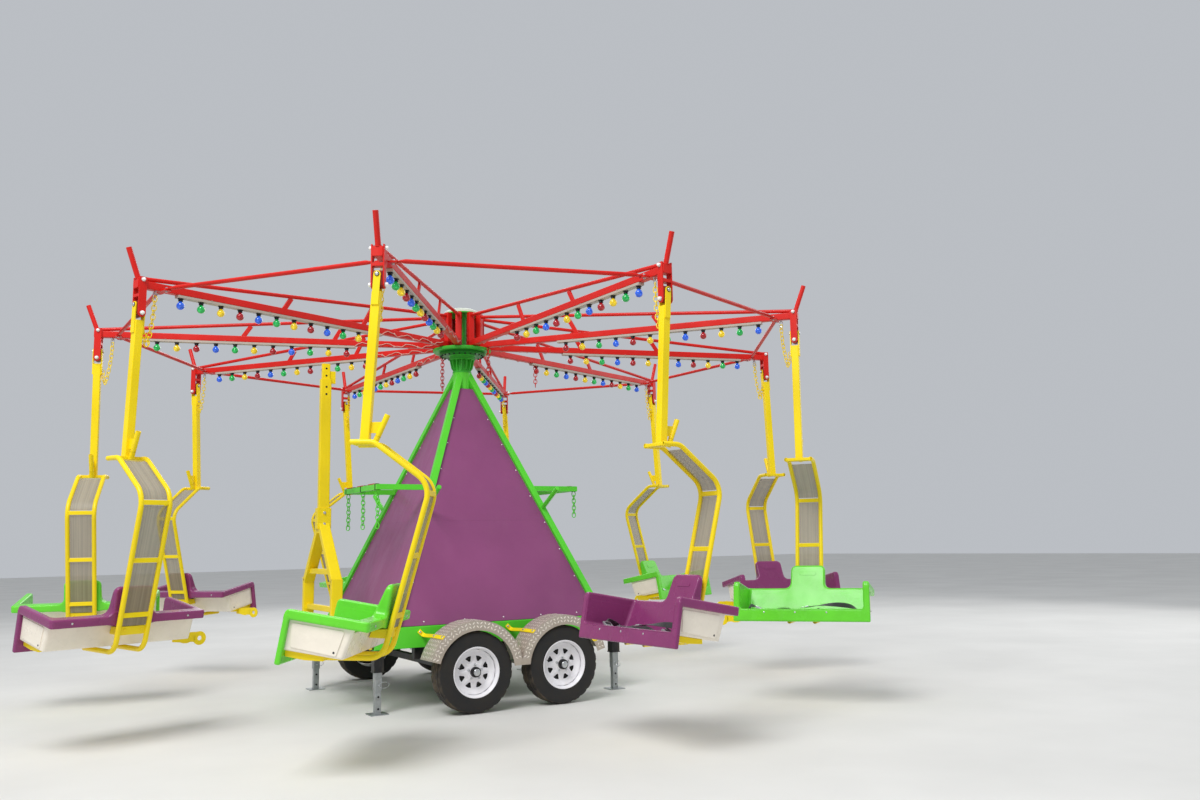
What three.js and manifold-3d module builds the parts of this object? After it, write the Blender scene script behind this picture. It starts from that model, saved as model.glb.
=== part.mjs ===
// A trailer-mounted chair swing ride: a four-sided tower on a two-axle trailer carries a
// rotor with radial lattice arms, and each arm end holds a swinging two-seat bench.
// Millimetres, +Z up. The origin is on the ground under the tower axis, and the trailer
// runs along X with its folded drawbar at -X.
import * as THREE from 'three';
import { mergeVertices } from 'three/addons/utils/BufferGeometryUtils.js';
import Module from 'manifold-3d';

const wasm = await Module();
wasm.setup();

// Gap left between pieces that touch, and between a pin and its bore
const SEAT_GAP = 0.3;
const OVERLAP = 2;

// Rotor: ten arms on one slewing hub
const ARM_COUNT = 10;
const ARM_PITCH = (2 * Math.PI) / ARM_COUNT;
const FIRST_ARM_ANGLE = THREE.MathUtils.degToRad(-123.07);
const PIVOT_RADIUS = 3450;
const PIVOT_HEIGHT = 3233;
const ARM_WITHOUT_MAST = 3;

// Arm truss
const BEAM_BOTTOM = 3435;
const BEAM_HEIGHT = 60;
const BEAM_WIDTH = 60;
const BEAM_START = 170;
const ROD_RADIUS = 17;
const TOP_ROD_START = [200, 3766];
const TOP_ROD_END = [3440, 3511];
const POST_SIZE = 60;
const POST_RADIUS = 200;
const WEB_FEET = [[1187, 3672, 1291, 3490], [2087, 3601, 2160, 3490]];
const WEB_WIDTH = 42;
const WEB_DEPTH = 20;

// Forked end bracket, its top block and the stub mast
const PLATE_INNER = 38;
const PLATE_THICK = 10;
const PLATE_HALF_WIDTH = 30.5;
const PLATE_TOP = 3519;
const BLOCK_HEIGHT = 72;
const CROSS_PLATE_HEIGHT = 3361;
const MAST_RADIUS = 21;
const MAST_FOOT = [3466, 3505];
const MAST_TIP = [3553, 3740];

// Rim rods tie each arm end to the next
const LUG_RADIUS = 3270;
const LUG_OFFSET = 60;
const LUG_HEIGHT = 3445;
const LUG_SIZE = 64;
const LUG_THICK = 10;
const ROD_LIFT = 10;

// Knuckle with its two crossed pins
const KNUCKLE_HALF = 31;
const PIN_RADIUS = 10;
const PIN_HEAD_RADIUS = 15;
const PIN_HEAD_LENGTH = 9;
const STRAP_BOLT_HEIGHT = 3300;

// Hanger: square tube between two strap plates, leaning forward below the bolt
const STRAP_INNER = 31.5;
const STRAP_THICK = 10;
const STRAP_WIDTH = 50;
const STRAP_BOTTOM = 3083;
const HANGER_TOP = 3180;
const HANGER_BOTTOM = 2146;
const HANGER_HALF = 32;
const HANGER_LEAN = THREE.MathUtils.degToRad(3.9);

// Seat frame: two bent tubes in front and behind, seen from the side as [forward, up]
const TUBE_HALF = 18;
const TUBE_SPREAD = 108;
const TUBE_LINE = [
  [150, 2120], [0, 2117], [-40, 2094], [-311, 1886], [-360, 1826], [-374, 1740],
  [-142, 905], [-108, 780], [-70, 717], [-10, 700], [370, 712],
];
const CROSSBARS = [[-376, 1768], [-268, 1354], [-158, 962]];
const CROSSBAR_HEIGHT = 36;
const CROSSBAR_THICK = 22;
const PANEL_THICK = 6;
const STUB_RADIUS = 20;
const UNDER_BAR_HALF = 520;
const HOOK_OUT = -730;

// Seat shell, in its own plane that tilts back from the horizontal
const SHELL_TILT = THREE.MathUtils.degToRad(10.5);
const SHELL_REAR_RIM = [-125, 957];
const SHELL_HALF_WIDTH = 577;
const BODY_HALF_WIDTH = 548;
const RIM_LENGTH = 540;
const RIM_THICK = 62;
const SIDE_THICK = 55;
const PAN_DEPTH = 232;
const BODY_DEPTH = 250;
const APRON_DEPTH = 340;
const APRON_THICK = 34;
const HUMP_RISE = 212;
const HUMP_HALF_WIDTH = 152;
const BACK_SLOPE = 35 / 190;

// Tower: corner tubes lean to one point, sheeted on four sides
const BASE_HEIGHT = 717;
const BASE_HALF_X = 1040;
const BASE_HALF_Y = 968;
const APEX_HEIGHT = 3274;
const TUBE_SIZE = 62;
const TUBE_TOP = 3185;
const SHEET_THICK = 6;
const SHEET_TOP = 3010;
const SILL_INSET = 42;
const SILL_HALF = 22;

// Tower head and hub
const ROTOR_SIDES = 20;
const NECK_RADIUS = 96;
const COLLAR_TOP = 3372;
const COLLAR_RADIUS = 146;
const SLEW_RADIUS = 235;
const HUB_BOTTOM = 3400;
const HUB_RADIUS = 300;
const HUB_THICK = 30;
const POLE_RADIUS = 34;
const CROWN_HEIGHT = 3796;
const CROWN_RADIUS = 192;
const CROWN_THICK = 12;
const DOME_RADIUS = 186;
const DOME_RISE = 62;

// Transport racks and stubs on the tower
const RACK_HEIGHT = 1945;
const RACK_SIZE = 50;
const RACK_REACH = 1045;
const RACK_HALF_Y = 478;
const RACK_INSET = 18;
const STUB_HEIGHT = 1760;
const STUB_REACH = 330;
const STUB_RISE = 190;

// Trailer frame
const RAIL_HEIGHT = 181;
const RAIL_OUTER = 999;
const RAIL_WIDTH = 70;
const FRAME_HALF_X = 1240;
const JACK_X = 1195;
const JACK_Y = 951;
const SLEEVE_SIZE = 88;
const SLEEVE_BOTTOM = 350;
const LEG_SIZE = 64;
const LEG_TOP = 520;
const FOOT_SIZE = 160;
const FOOT_THICK = 8;

// Running gear
const WHEEL_X = [-506, 346];
const TYRE_RADIUS = 344;
const TYRE_WIDTH = 205;
const TYRE_FACE = 1484;
const AXLE_SIZE = 60;
const AXLE_HALF = 1262;
const SPINDLE_RADIUS = 24;
const DRUM_RADIUS = 128;
const WHEEL_SIDES = 20;
const SPRING_Y = 940;
const SPRING_HALF = 340;

// Fenders
const FENDER_INNER = 1240;
const FENDER_OUTER = 1502;
const FENDER_RADIUS = 432;
const FENDER_THICK = 5;
const FENDER_LIP = 38;
const FENDER_END = 16;
const VALLEY_END = 5;
const STAY_ANGLE = 135;

// Drawbar, folded upright on its hinge
const HINGE_X = -1420;
const HINGE_Z = 575;
const FORK_HALF_Y = 465;
const DRAWBAR_SIZE = 100;
const DRAWBAR_WIDTH = 64;
const DRAWBAR_TOP = 3178;
const SLEEVE_TOP = 1791;
const FORK_TOP = 1594;
const FORK_BEND = 1110;
const FORK_BARS = [[1198, 400], [862, 460]];
const HINGE_PIN_RADIUS = 16;

// Joins, cuts and basic solids

function solid(geometry) {
  geometry.deleteAttribute('normal');
  geometry.deleteAttribute('uv');
  const merged = mergeVertices(geometry, 1e-4);
  const vertProperties = new Float32Array(merged.attributes.position.array);
  const triVerts = new Uint32Array(merged.index.array);
  return new wasm.Manifold(new wasm.Mesh({ numProp: 3, vertProperties, triVerts }));
}

function shapeOf(manifold) {
  const mesh = manifold.getMesh();
  const geometry = new THREE.BufferGeometry();
  geometry.setAttribute('position', new THREE.BufferAttribute(mesh.vertProperties, 3));
  geometry.setIndex(new THREE.BufferAttribute(mesh.triVerts, 1));
  geometry.computeVertexNormals();
  return geometry;
}

function join(solids) {
  return solids.reduce((all, next) => all.add(next));
}

function box(x0, x1, y0, y1, z0, z1) {
  const geometry = new THREE.BoxGeometry(x1 - x0, y1 - y0, z1 - z0);
  geometry.translate((x0 + x1) / 2, (y0 + y1) / 2, (z0 + z1) / 2);
  return solid(geometry);
}

// Straight bar between two points, its width lying as near as it can to a given direction
function bar(from, to, width, height, towards) {
  const along = new THREE.Vector3().subVectors(to, from);
  const length = along.length();
  along.normalize();
  const side = towards.clone().addScaledVector(along, -towards.dot(along)).normalize();
  const up = new THREE.Vector3().crossVectors(along, side);
  const geometry = new THREE.BoxGeometry(length, width, height);
  geometry.applyMatrix4(new THREE.Matrix4().makeBasis(along, side, up));
  geometry.translate((from.x + to.x) / 2, (from.y + to.y) / 2, (from.z + to.z) / 2);
  return solid(geometry);
}

function rod(from, to, radius, sides = 8) {
  const along = new THREE.Vector3().subVectors(to, from);
  const geometry = new THREE.CylinderGeometry(radius, radius, along.length(), sides);
  const turn = new THREE.Quaternion().setFromUnitVectors(new THREE.Vector3(0, 1, 0), along.normalize());
  geometry.applyQuaternion(turn);
  geometry.translate((from.x + to.x) / 2, (from.y + to.y) / 2, (from.z + to.z) / 2);
  return solid(geometry);
}

// Flat outline in the forward and up plane of a seat, drawn out along the radius
function radialSlab(outline, r0, r1) {
  const shape = new THREE.Shape(outline.map(([forward, up]) => new THREE.Vector2(-forward, up)));
  const geometry = new THREE.ExtrudeGeometry(shape, { depth: r1 - r0, bevelEnabled: false });
  geometry.applyMatrix4(new THREE.Matrix4().makeBasis(
    new THREE.Vector3(0, 1, 0), new THREE.Vector3(0, 0, 1), new THREE.Vector3(1, 0, 0)));
  geometry.translate(PIVOT_RADIUS + r0, 0, 0);
  return solid(geometry);
}

// Flat outline in the radius and up plane, drawn out along the forward direction
function forwardSlab(outline, y0, y1) {
  const shape = new THREE.Shape(outline.map(([r, up]) => new THREE.Vector2(r, up)));
  const geometry = new THREE.ExtrudeGeometry(shape, { depth: y1 - y0, bevelEnabled: false });
  geometry.applyMatrix4(new THREE.Matrix4().makeBasis(
    new THREE.Vector3(1, 0, 0), new THREE.Vector3(0, 0, 1), new THREE.Vector3(0, -1, 0)));
  geometry.translate(0, y1, 0);
  return solid(geometry);
}

function roundEnd(centre, radius, from, to, steps) {
  const points = [];
  for (let i = 0; i <= steps; i += 1) {
    const angle = THREE.MathUtils.degToRad(from + ((to - from) * i) / steps);
    points.push([centre[0] + radius * Math.cos(angle), centre[1] + radius * Math.sin(angle)]);
  }
  return points;
}

// Outline of a bent bar of even thickness around a side-view line
function thickLine(line, half) {
  const normals = line.map((here, i) => {
    const before = line[Math.max(i - 1, 0)];
    const after = line[Math.min(i + 1, line.length - 1)];
    const arriving = Math.atan2(here[1] - before[1], here[0] - before[0]);
    const leaving = Math.atan2(after[1] - here[1], after[0] - here[0]);
    const first = i === 0 ? leaving : arriving;
    const last = i === line.length - 1 ? arriving : leaving;
    const turn = Math.atan2(Math.sin(last - first), Math.cos(last - first));
    const middle = first + turn / 2 + Math.PI / 2;
    const reach = half / Math.cos(turn / 2);
    return [reach * Math.cos(middle), reach * Math.sin(middle)];
  });
  const left = line.map((here, i) => [here[0] + normals[i][0], here[1] + normals[i][1]]);
  const right = line.map((here, i) => [here[0] - normals[i][0], here[1] - normals[i][1]]);
  return [...left, ...right.reverse()];
}

function point(x, y, z) {
  return new THREE.Vector3(x, y, z);
}

// Seat coordinates: out along the radius, forward with the turning, up from the ground
function seatPoint(out, forward, up) {
  return new THREE.Vector3(PIVOT_RADIUS + out, -forward, up);
}

// Arm

function truss() {
  const postTop = CROWN_HEIGHT - SEAT_GAP;
  const half = POST_SIZE / 2;
  const side = BEAM_WIDTH / 2;
  const topRodStart = point(TOP_ROD_START[0], 0, TOP_ROD_START[1]);
  const topRodEnd = point(TOP_ROD_END[0], 0, TOP_ROD_END[1]);
  const pieces = [
    box(BEAM_START, PIVOT_RADIUS, -side, side, BEAM_BOTTOM, BEAM_BOTTOM + BEAM_HEIGHT),
    box(POST_RADIUS - half, POST_RADIUS + half, -half, half, HUB_BOTTOM + HUB_THICK + SEAT_GAP, postTop),
    rod(topRodStart, topRodEnd, ROD_RADIUS, 6),
  ];
  for (const [r0, z0, r1, z1] of WEB_FEET) {
    pieces.push(bar(point(r0, 0, z0), point(r1, 0, z1), WEB_DEPTH, WEB_WIDTH, point(0, 1, 0)));
  }
  return pieces;
}

function bracketPlate(y0) {
  const left = PIVOT_RADIUS - PLATE_HALF_WIDTH;
  const right = PIVOT_RADIUS + PLATE_HALF_WIDTH;
  const foot = roundEnd([PIVOT_RADIUS, PIVOT_HEIGHT], PLATE_HALF_WIDTH, 180, 360, 4);
  return forwardSlab([[left, PLATE_TOP], ...foot, [right, PLATE_TOP]], y0, y0 + PLATE_THICK);
}

function boreAlong(from, to, pinRadius, sides = 6) {
  const boreRadius = (pinRadius + SEAT_GAP) / Math.cos(Math.PI / sides);
  return rod(from, to, boreRadius, sides);
}

function bracket() {
  const outer = PLATE_INNER + PLATE_THICK;
  const left = PIVOT_RADIUS - PLATE_HALF_WIDTH;
  const right = PIVOT_RADIUS + PLATE_HALF_WIDTH;
  const inside = PLATE_INNER + OVERLAP;
  const blockBottom = PLATE_TOP - 16 - BLOCK_HEIGHT;
  return join([
    bracketPlate(-outer),
    bracketPlate(PLATE_INNER),
    box(left - 8, right + 6, -inside, inside, blockBottom, PLATE_TOP - 16),
    box(left, right, -inside, inside, CROSS_PLATE_HEIGHT, CROSS_PLATE_HEIGHT + 10),
  ]).subtract(boreAlong(
    point(PIVOT_RADIUS, -outer - 5, PIVOT_HEIGHT), point(PIVOT_RADIUS, outer + 5, PIVOT_HEIGHT), PIN_RADIUS));
}

function lug(side) {
  const inner = BEAM_WIDTH / 2 - OVERLAP;
  const outer = LUG_OFFSET + LUG_SIZE / 2;
  const [y0, y1] = side > 0 ? [inner, outer] : [-outer, -inner];
  const half = LUG_SIZE / 2;
  return box(LUG_RADIUS - half, LUG_RADIUS + half, y0, y1, LUG_HEIGHT - LUG_THICK, LUG_HEIGHT);
}

// Rod from this arm's lug to the next arm's, welded here and laid on the lug there
function rimRod() {
  const start = point(LUG_RADIUS, LUG_OFFSET, 0);
  const end = point(LUG_RADIUS, -LUG_OFFSET, 0).applyAxisAngle(point(0, 0, 1), ARM_PITCH);
  const along = new THREE.Vector3().subVectors(end, start).normalize();
  const at = (distance, height, origin = start) => (
    origin.clone().addScaledVector(along, distance).setZ(height));
  const tabMiddle = LUG_HEIGHT + SEAT_GAP + LUG_THICK / 2;
  const level = new THREE.Vector3(-along.y, along.x, 0);
  return join([
    rod(at(50, LUG_HEIGHT + ROD_LIFT), at(-50, LUG_HEIGHT + ROD_LIFT, end), ROD_RADIUS, 6),
    bar(at(-20, tabMiddle - SEAT_GAP), at(80, tabMiddle - SEAT_GAP), ROD_RADIUS * 2, LUG_THICK + 1, level),
    bar(at(-80, tabMiddle, end), at(20, tabMiddle, end), ROD_RADIUS * 2, LUG_THICK, level),
  ]);
}

function mast() {
  return rod(point(MAST_FOOT[0], 0, MAST_FOOT[1] - 20), point(MAST_TIP[0], 0, MAST_TIP[1]), MAST_RADIUS);
}

function armSolid(withMast) {
  const pieces = [...truss(), bracket(), lug(1), lug(-1), rimRod()];
  if (withMast) pieces.push(mast());
  return join(pieces);
}

// Knuckle

function pin(from, to) {
  const along = new THREE.Vector3().subVectors(to, from).normalize();
  const headStart = from.clone().addScaledVector(along, PIN_HEAD_LENGTH);
  const headEnd = to.clone().addScaledVector(along, -PIN_HEAD_LENGTH);
  return join([
    rod(from, to, PIN_RADIUS, 6),
    rod(from, headStart, PIN_HEAD_RADIUS, 6),
    rod(headEnd, to, PIN_HEAD_RADIUS, 6),
  ]);
}

function knuckleSolid() {
  const half = KNUCKLE_HALF;
  const foot = roundEnd([PIVOT_RADIUS, PIVOT_HEIGHT], half, 180, 360, 4);
  const top = STRAP_BOLT_HEIGHT + 28;
  const outline = [[PIVOT_RADIUS - half, top], ...foot, [PIVOT_RADIUS + half, top]];
  const side = PLATE_INNER - 2 * SEAT_GAP;
  const acrossEnd = PLATE_INNER + PLATE_THICK + SEAT_GAP + PIN_HEAD_LENGTH;
  const outEnd = STRAP_INNER + STRAP_THICK + SEAT_GAP + PIN_HEAD_LENGTH;
  return join([
    forwardSlab(outline, -side, side),
    pin(point(PIVOT_RADIUS, -acrossEnd, PIVOT_HEIGHT), point(PIVOT_RADIUS, acrossEnd, PIVOT_HEIGHT)),
    pin(seatPoint(-outEnd, 0, STRAP_BOLT_HEIGHT), seatPoint(outEnd, 0, STRAP_BOLT_HEIGHT)),
  ]);
}

// Hanger and seat frame

// A height on the hanger's leaning line, with an offset square to it
function hangerPoint(height, across) {
  const down = (STRAP_BOLT_HEIGHT - height) / Math.cos(HANGER_LEAN);
  const forward = down * Math.sin(HANGER_LEAN) + across * Math.cos(HANGER_LEAN);
  return [forward, height + across * Math.sin(HANGER_LEAN)];
}

function hangerStrap(r0) {
  const half = STRAP_WIDTH / 2;
  const head = roundEnd([0, STRAP_BOLT_HEIGHT], half, 180 + 3.9, 0 + 3.9, 5);
  return radialSlab([hangerPoint(STRAP_BOTTOM, -half), ...head, hangerPoint(STRAP_BOTTOM, half)],
    r0, r0 + STRAP_THICK);
}

function hangerTube() {
  const half = HANGER_HALF;
  return radialSlab([
    hangerPoint(HANGER_TOP, -half), hangerPoint(HANGER_TOP, half),
    [hangerPoint(HANGER_BOTTOM, half)[0], HANGER_BOTTOM - 18],
    [hangerPoint(HANGER_BOTTOM, -half)[0], HANGER_BOTTOM - 18],
  ], -half, half);
}

function frameTube(out) {
  return radialSlab(thickLine(TUBE_LINE, TUBE_HALF), out - TUBE_HALF, out + TUBE_HALF);
}

function crossPiece([forward, up], height, thick) {
  return radialSlab([
    [forward - thick / 2, up - height / 2], [forward + thick / 2, up - height / 2],
    [forward + thick / 2, up + height / 2], [forward - thick / 2, up + height / 2],
  ], -TUBE_SPREAD, TUBE_SPREAD);
}

// Thin sheet filling the bay between the two tubes from one height to another
function bayPanel(from, to) {
  return radialSlab(thickLine([from, to], PANEL_THICK / 2), -TUBE_SPREAD, TUBE_SPREAD);
}

function topBar() {
  return radialSlab([[40, 2108], [150, 2108], [150, 2132], [40, 2132]], -TUBE_SPREAD, TUBE_SPREAD);
}

// Socket stub and its gusset behind the foot of the hanger
function socketStub() {
  return [
    rod(seatPoint(0, 10, 2118), seatPoint(0, -76, 2314), STUB_RADIUS, 6),
    radialSlab([[-24, 2190], [60, 2190], [60, 2265], [-56, 2265]], -5, 5),
  ];
}

// Bar across under the shell, with the hooked plate at its inner end
function underBar() {
  const tilt = SHELL_TILT;
  const under = shellPoint(300, -BODY_DEPTH - SEAT_GAP);
  const front = [under[0] + 35 * Math.cos(tilt), under[1] + 35 * Math.sin(tilt)];
  const rear = [under[0] - 35 * Math.cos(tilt), under[1] - 35 * Math.sin(tilt)];
  const base = under[1] - 62;
  const hook = join([
    box(PIVOT_RADIUS + HOOK_OUT, PIVOT_RADIUS - 500, -under[0] - 6, -under[0] + 6, base, base + 46),
    rod(seatPoint(HOOK_OUT, under[0] - 6, base + 35), seatPoint(HOOK_OUT, under[0] + 6, base + 35), 48, 8),
  ]);
  const holeStart = seatPoint(HOOK_OUT, under[0] - 20, base + 35);
  const holeEnd = seatPoint(HOOK_OUT, under[0] + 20, base + 35);
  const side = [[rear[0], base], [front[0], base], front, rear];
  const across = radialSlab(side, -UNDER_BAR_HALF, UNDER_BAR_HALF);
  return join([across, hook]).subtract(rod(holeStart, holeEnd, 22, 6));
}

// Bracket from the tubes forward to the back of the shell
function backBracket() {
  const backAt = (above) => shellPoint(95 + (-60 - above) * BACK_SLOPE - SEAT_GAP, above);
  return radialSlab([[-133, 880], backAt(-95), backAt(-150), [-118, 820]], -TUBE_SPREAD, TUBE_SPREAD);
}

function hangerSolid() {
  const bays = [[-46, 2088], ...CROSSBARS];
  const pieces = [
    hangerTube(),
    hangerStrap(STRAP_INNER),
    hangerStrap(-STRAP_INNER - STRAP_THICK),
    frameTube(TUBE_SPREAD),
    frameTube(-TUBE_SPREAD),
    topBar(),
    ...CROSSBARS.map((place) => crossPiece(place, CROSSBAR_HEIGHT, CROSSBAR_THICK)),
    backBracket(),
    ...socketStub(),
    underBar(),
  ];
  for (let i = 0; i < 3; i += 1) pieces.push(bayPanel(bays[i], bays[i + 1]));
  const outEnd = STRAP_INNER + STRAP_THICK + 5;
  return join(pieces).subtract(boreAlong(
    seatPoint(-outEnd, 0, STRAP_BOLT_HEIGHT), seatPoint(outEnd, 0, STRAP_BOLT_HEIGHT), PIN_RADIUS));
}

// Seat shell

function shellPoint(along, above) {
  const [forward, up] = SHELL_REAR_RIM;
  return [
    forward + along * Math.cos(SHELL_TILT) - above * Math.sin(SHELL_TILT),
    up + along * Math.sin(SHELL_TILT) + above * Math.cos(SHELL_TILT),
  ];
}

function shellSlab(outline, r0, r1) {
  return radialSlab(outline.map(([along, above]) => shellPoint(along, above)), r0, r1);
}

function shellSolid() {
  const wide = SHELL_HALF_WIDTH;
  const body = BODY_HALF_WIDTH;
  const inner = wide - SIDE_THICK;
  const rim = shellSlab([
    [0, 0], [0, -RIM_THICK + 12], [12, -RIM_THICK], [RIM_LENGTH, -RIM_THICK],
    [RIM_LENGTH, -20], [RIM_LENGTH - 12, -6], [RIM_LENGTH - 30, 0], [14, 6],
  ], -wide, wide);
  const lower = shellSlab([
    [95, -60], [130, -BODY_DEPTH], [RIM_LENGTH, -BODY_DEPTH], [RIM_LENGTH, -60],
  ], -body, body);
  const apron = shellSlab([
    [RIM_LENGTH - APRON_THICK, -20], [RIM_LENGTH - APRON_THICK, -APRON_DEPTH],
    [RIM_LENGTH, -APRON_DEPTH], [RIM_LENGTH, -20],
  ], -wide, wide);
  const pit = shellSlab([
    [84, 40], [98, 0], [124, -60], [150, -PAN_DEPTH + 32], [176, -PAN_DEPTH],
    [RIM_LENGTH + 40, -PAN_DEPTH], [RIM_LENGTH + 40, 40],
  ], -inner, inner);
  const hump = shellSlab([
    [6, -20], [6, HUMP_RISE - 24], [24, HUMP_RISE], [66, HUMP_RISE], [90, HUMP_RISE - 26],
    [116, 0], [150, -100], [172, -PAN_DEPTH + 12], [150, -PAN_DEPTH - 8], [118, -100], [60, -30],
  ], -HUMP_HALF_WIDTH, HUMP_HALF_WIDTH);
  return join([join([rim, lower, apron]).subtract(pit), hump]);
}

// Tower

function cornerAt(sx, sy, height) {
  const share = (APEX_HEIGHT - height) / (APEX_HEIGHT - BASE_HEIGHT);
  return point(sx * BASE_HALF_X * share, sy * BASE_HALF_Y * share, height);
}

const CORNERS = [[-1, -1], [1, -1], [1, 1], [-1, 1]];

function cornerTube([sx, sy], size) {
  return bar(cornerAt(sx, sy, BASE_HEIGHT - 60), cornerAt(sx, sy, TUBE_TOP), size, size, point(1, 0, 0));
}

function rack(sx) {
  const reach = sx * RACK_REACH;
  const low = RACK_HEIGHT;
  const high = RACK_HEIGHT + RACK_SIZE;
  const half = RACK_SIZE / 2;
  const root = cornerAt(sx, 1, RACK_HEIGHT + half).x + sx * RACK_INSET;
  const [x0, x1] = [Math.min(root, reach), Math.max(root, reach)];
  const pieces = [box(reach - half, reach + half, -RACK_HALF_Y - half, RACK_HALF_Y + half, low, high)];
  for (const sy of [-1, 1]) {
    const y = sy * RACK_HALF_Y;
    pieces.push(box(x0, x1, y - half, y + half, low, high));
  }
  return join(pieces);
}

function towerStub([sx, sy]) {
  const foot = cornerAt(sx, sy, STUB_HEIGHT);
  return rod(foot, point(foot.x, foot.y + sy * STUB_REACH, foot.z + STUB_RISE), 22);
}

function towerFrameSolid() {
  const base = BASE_HEIGHT + SEAT_GAP;
  const wide = 2 * BASE_HALF_X;
  const pieces = [
    ...CORNERS.map((corner) => cornerTube(corner, TUBE_SIZE)),
    rack(-1),
    rack(1),
    ...CORNERS.map(towerStub),
    rod(point(0, 0, 2960), point(0, 0, TUBE_TOP), NECK_RADIUS, 16),
  ];
  const reachX = BASE_HALF_X - SILL_INSET + SILL_HALF;
  const reachY = BASE_HALF_Y - SILL_INSET + SILL_HALF;
  for (const side of [-1, 1]) {
    const y = side * (BASE_HALF_Y - SILL_INSET);
    const x = side * (BASE_HALF_X - SILL_INSET);
    pieces.push(box(-reachX, reachX, y - SILL_HALF, y + SILL_HALF, base, base + 30));
    pieces.push(box(x - SILL_HALF, x + SILL_HALF, -reachY, reachY, base, base + 30));
  }
  const below = box(-wide, wide, -wide, wide, 0, base);
  const above = box(-wide, wide, -wide, wide, TUBE_TOP, TUBE_TOP + 300);
  return join(pieces).subtract(below).subtract(above);
}

// One side's sheet between two corners, lying in the plane of the corner lines
function sheetSolid(first, second) {
  const low = BASE_HEIGHT + 3;
  const a = cornerAt(...first, low);
  const b = cornerAt(...second, low);
  const c = cornerAt(...second, SHEET_TOP);
  const d = cornerAt(...first, SHEET_TOP);
  const along = new THREE.Vector3().subVectors(b, a).normalize();
  const up = new THREE.Vector3().subVectors(d, a);
  const normal = new THREE.Vector3().crossVectors(along, up).normalize();
  const rise = new THREE.Vector3().crossVectors(normal, along);
  const flat = [a, b, c, d].map((p) => {
    const offset = p.clone().sub(a);
    return new THREE.Vector2(offset.dot(along), offset.dot(rise));
  });
  const sheet = { depth: SHEET_THICK, bevelEnabled: false };
  const geometry = new THREE.ExtrudeGeometry(new THREE.Shape(flat), sheet);
  geometry.translate(0, 0, -SHEET_THICK / 2);
  geometry.applyMatrix4(new THREE.Matrix4().makeBasis(along, rise, normal));
  geometry.translate(a.x, a.y, a.z);
  const clear = join([
    ...[first, second].map((corner) => cornerTube(corner, TUBE_SIZE + 2 * SEAT_GAP)),
    rod(point(0, 0, 2900), point(0, 0, APEX_HEIGHT), NECK_RADIUS + SEAT_GAP, 16),
  ]);
  return solid(geometry).subtract(clear);
}

function lathe(profile, segments) {
  const geometry = new THREE.LatheGeometry(profile.map(([r, z]) => new THREE.Vector2(r, z)), segments);
  geometry.rotateX(Math.PI / 2);
  return solid(geometry);
}

function towerHeadSolid() {
  return lathe([
    [0, TUBE_TOP + SEAT_GAP], [NECK_RADIUS, TUBE_TOP + SEAT_GAP], [NECK_RADIUS + 8, 3240],
    [COLLAR_RADIUS, 3290], [COLLAR_RADIUS, COLLAR_TOP], [SLEW_RADIUS, COLLAR_TOP],
    [SLEW_RADIUS, HUB_BOTTOM - SEAT_GAP], [0, HUB_BOTTOM - SEAT_GAP],
  ], ROTOR_SIDES);
}

function hubSolid() {
  const domeFoot = CROWN_HEIGHT + CROWN_THICK;
  const dome = [[CROWN_RADIUS, CROWN_HEIGHT], [CROWN_RADIUS, domeFoot], [DOME_RADIUS, domeFoot]];
  for (let i = 1; i <= 4; i += 1) {
    const turn = (Math.PI / 2) * (i / 5);
    dome.push([DOME_RADIUS * Math.cos(turn), domeFoot + DOME_RISE * Math.sin(turn)]);
  }
  return lathe([
    [0, HUB_BOTTOM], [HUB_RADIUS - 12, HUB_BOTTOM], [HUB_RADIUS, HUB_BOTTOM + 12],
    [HUB_RADIUS, HUB_BOTTOM + HUB_THICK], [POLE_RADIUS, HUB_BOTTOM + HUB_THICK],
    [POLE_RADIUS, CROWN_HEIGHT], ...dome, [0, domeFoot + DOME_RISE],
  ], ROTOR_SIDES);
}

// Trailer frame, jacks, running gear

function frameRail(sy) {
  const y = sy * (RAIL_OUTER - RAIL_WIDTH / 2);
  const half = RAIL_WIDTH / 2;
  return box(-FRAME_HALF_X, FRAME_HALF_X, y - half, y + half, BASE_HEIGHT - RAIL_HEIGHT, BASE_HEIGHT);
}

function crossMember(x, width) {
  const half = width / 2;
  const reach = RAIL_OUTER - OVERLAP;
  return box(x - half, x + half, -reach, reach, BASE_HEIGHT - RAIL_HEIGHT, BASE_HEIGHT);
}

function jackSleeve(sx, sy) {
  const half = SLEEVE_SIZE / 2;
  const hollow = LEG_SIZE / 2 + SEAT_GAP;
  const x = sx * JACK_X;
  const y = sy * JACK_Y;
  const outer = box(x - half, x + half, y - half, y + half, SLEEVE_BOTTOM, BASE_HEIGHT - 20);
  const boreTop = LEG_TOP + SEAT_GAP;
  return { outer, bore: box(x - hollow, x + hollow, y - hollow, y + hollow, SLEEVE_BOTTOM - 5, boreTop) };
}

function hingeCheek(y) {
  const outline = [
    [-FRAME_HALF_X + 20, HINGE_Z + 100], ...roundEnd([HINGE_X, HINGE_Z], 52, 120, 240, 4),
    [-FRAME_HALF_X + 20, HINGE_Z - 39],
  ];
  return forwardSlab(outline, y - 6, y + 6);
}

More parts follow.
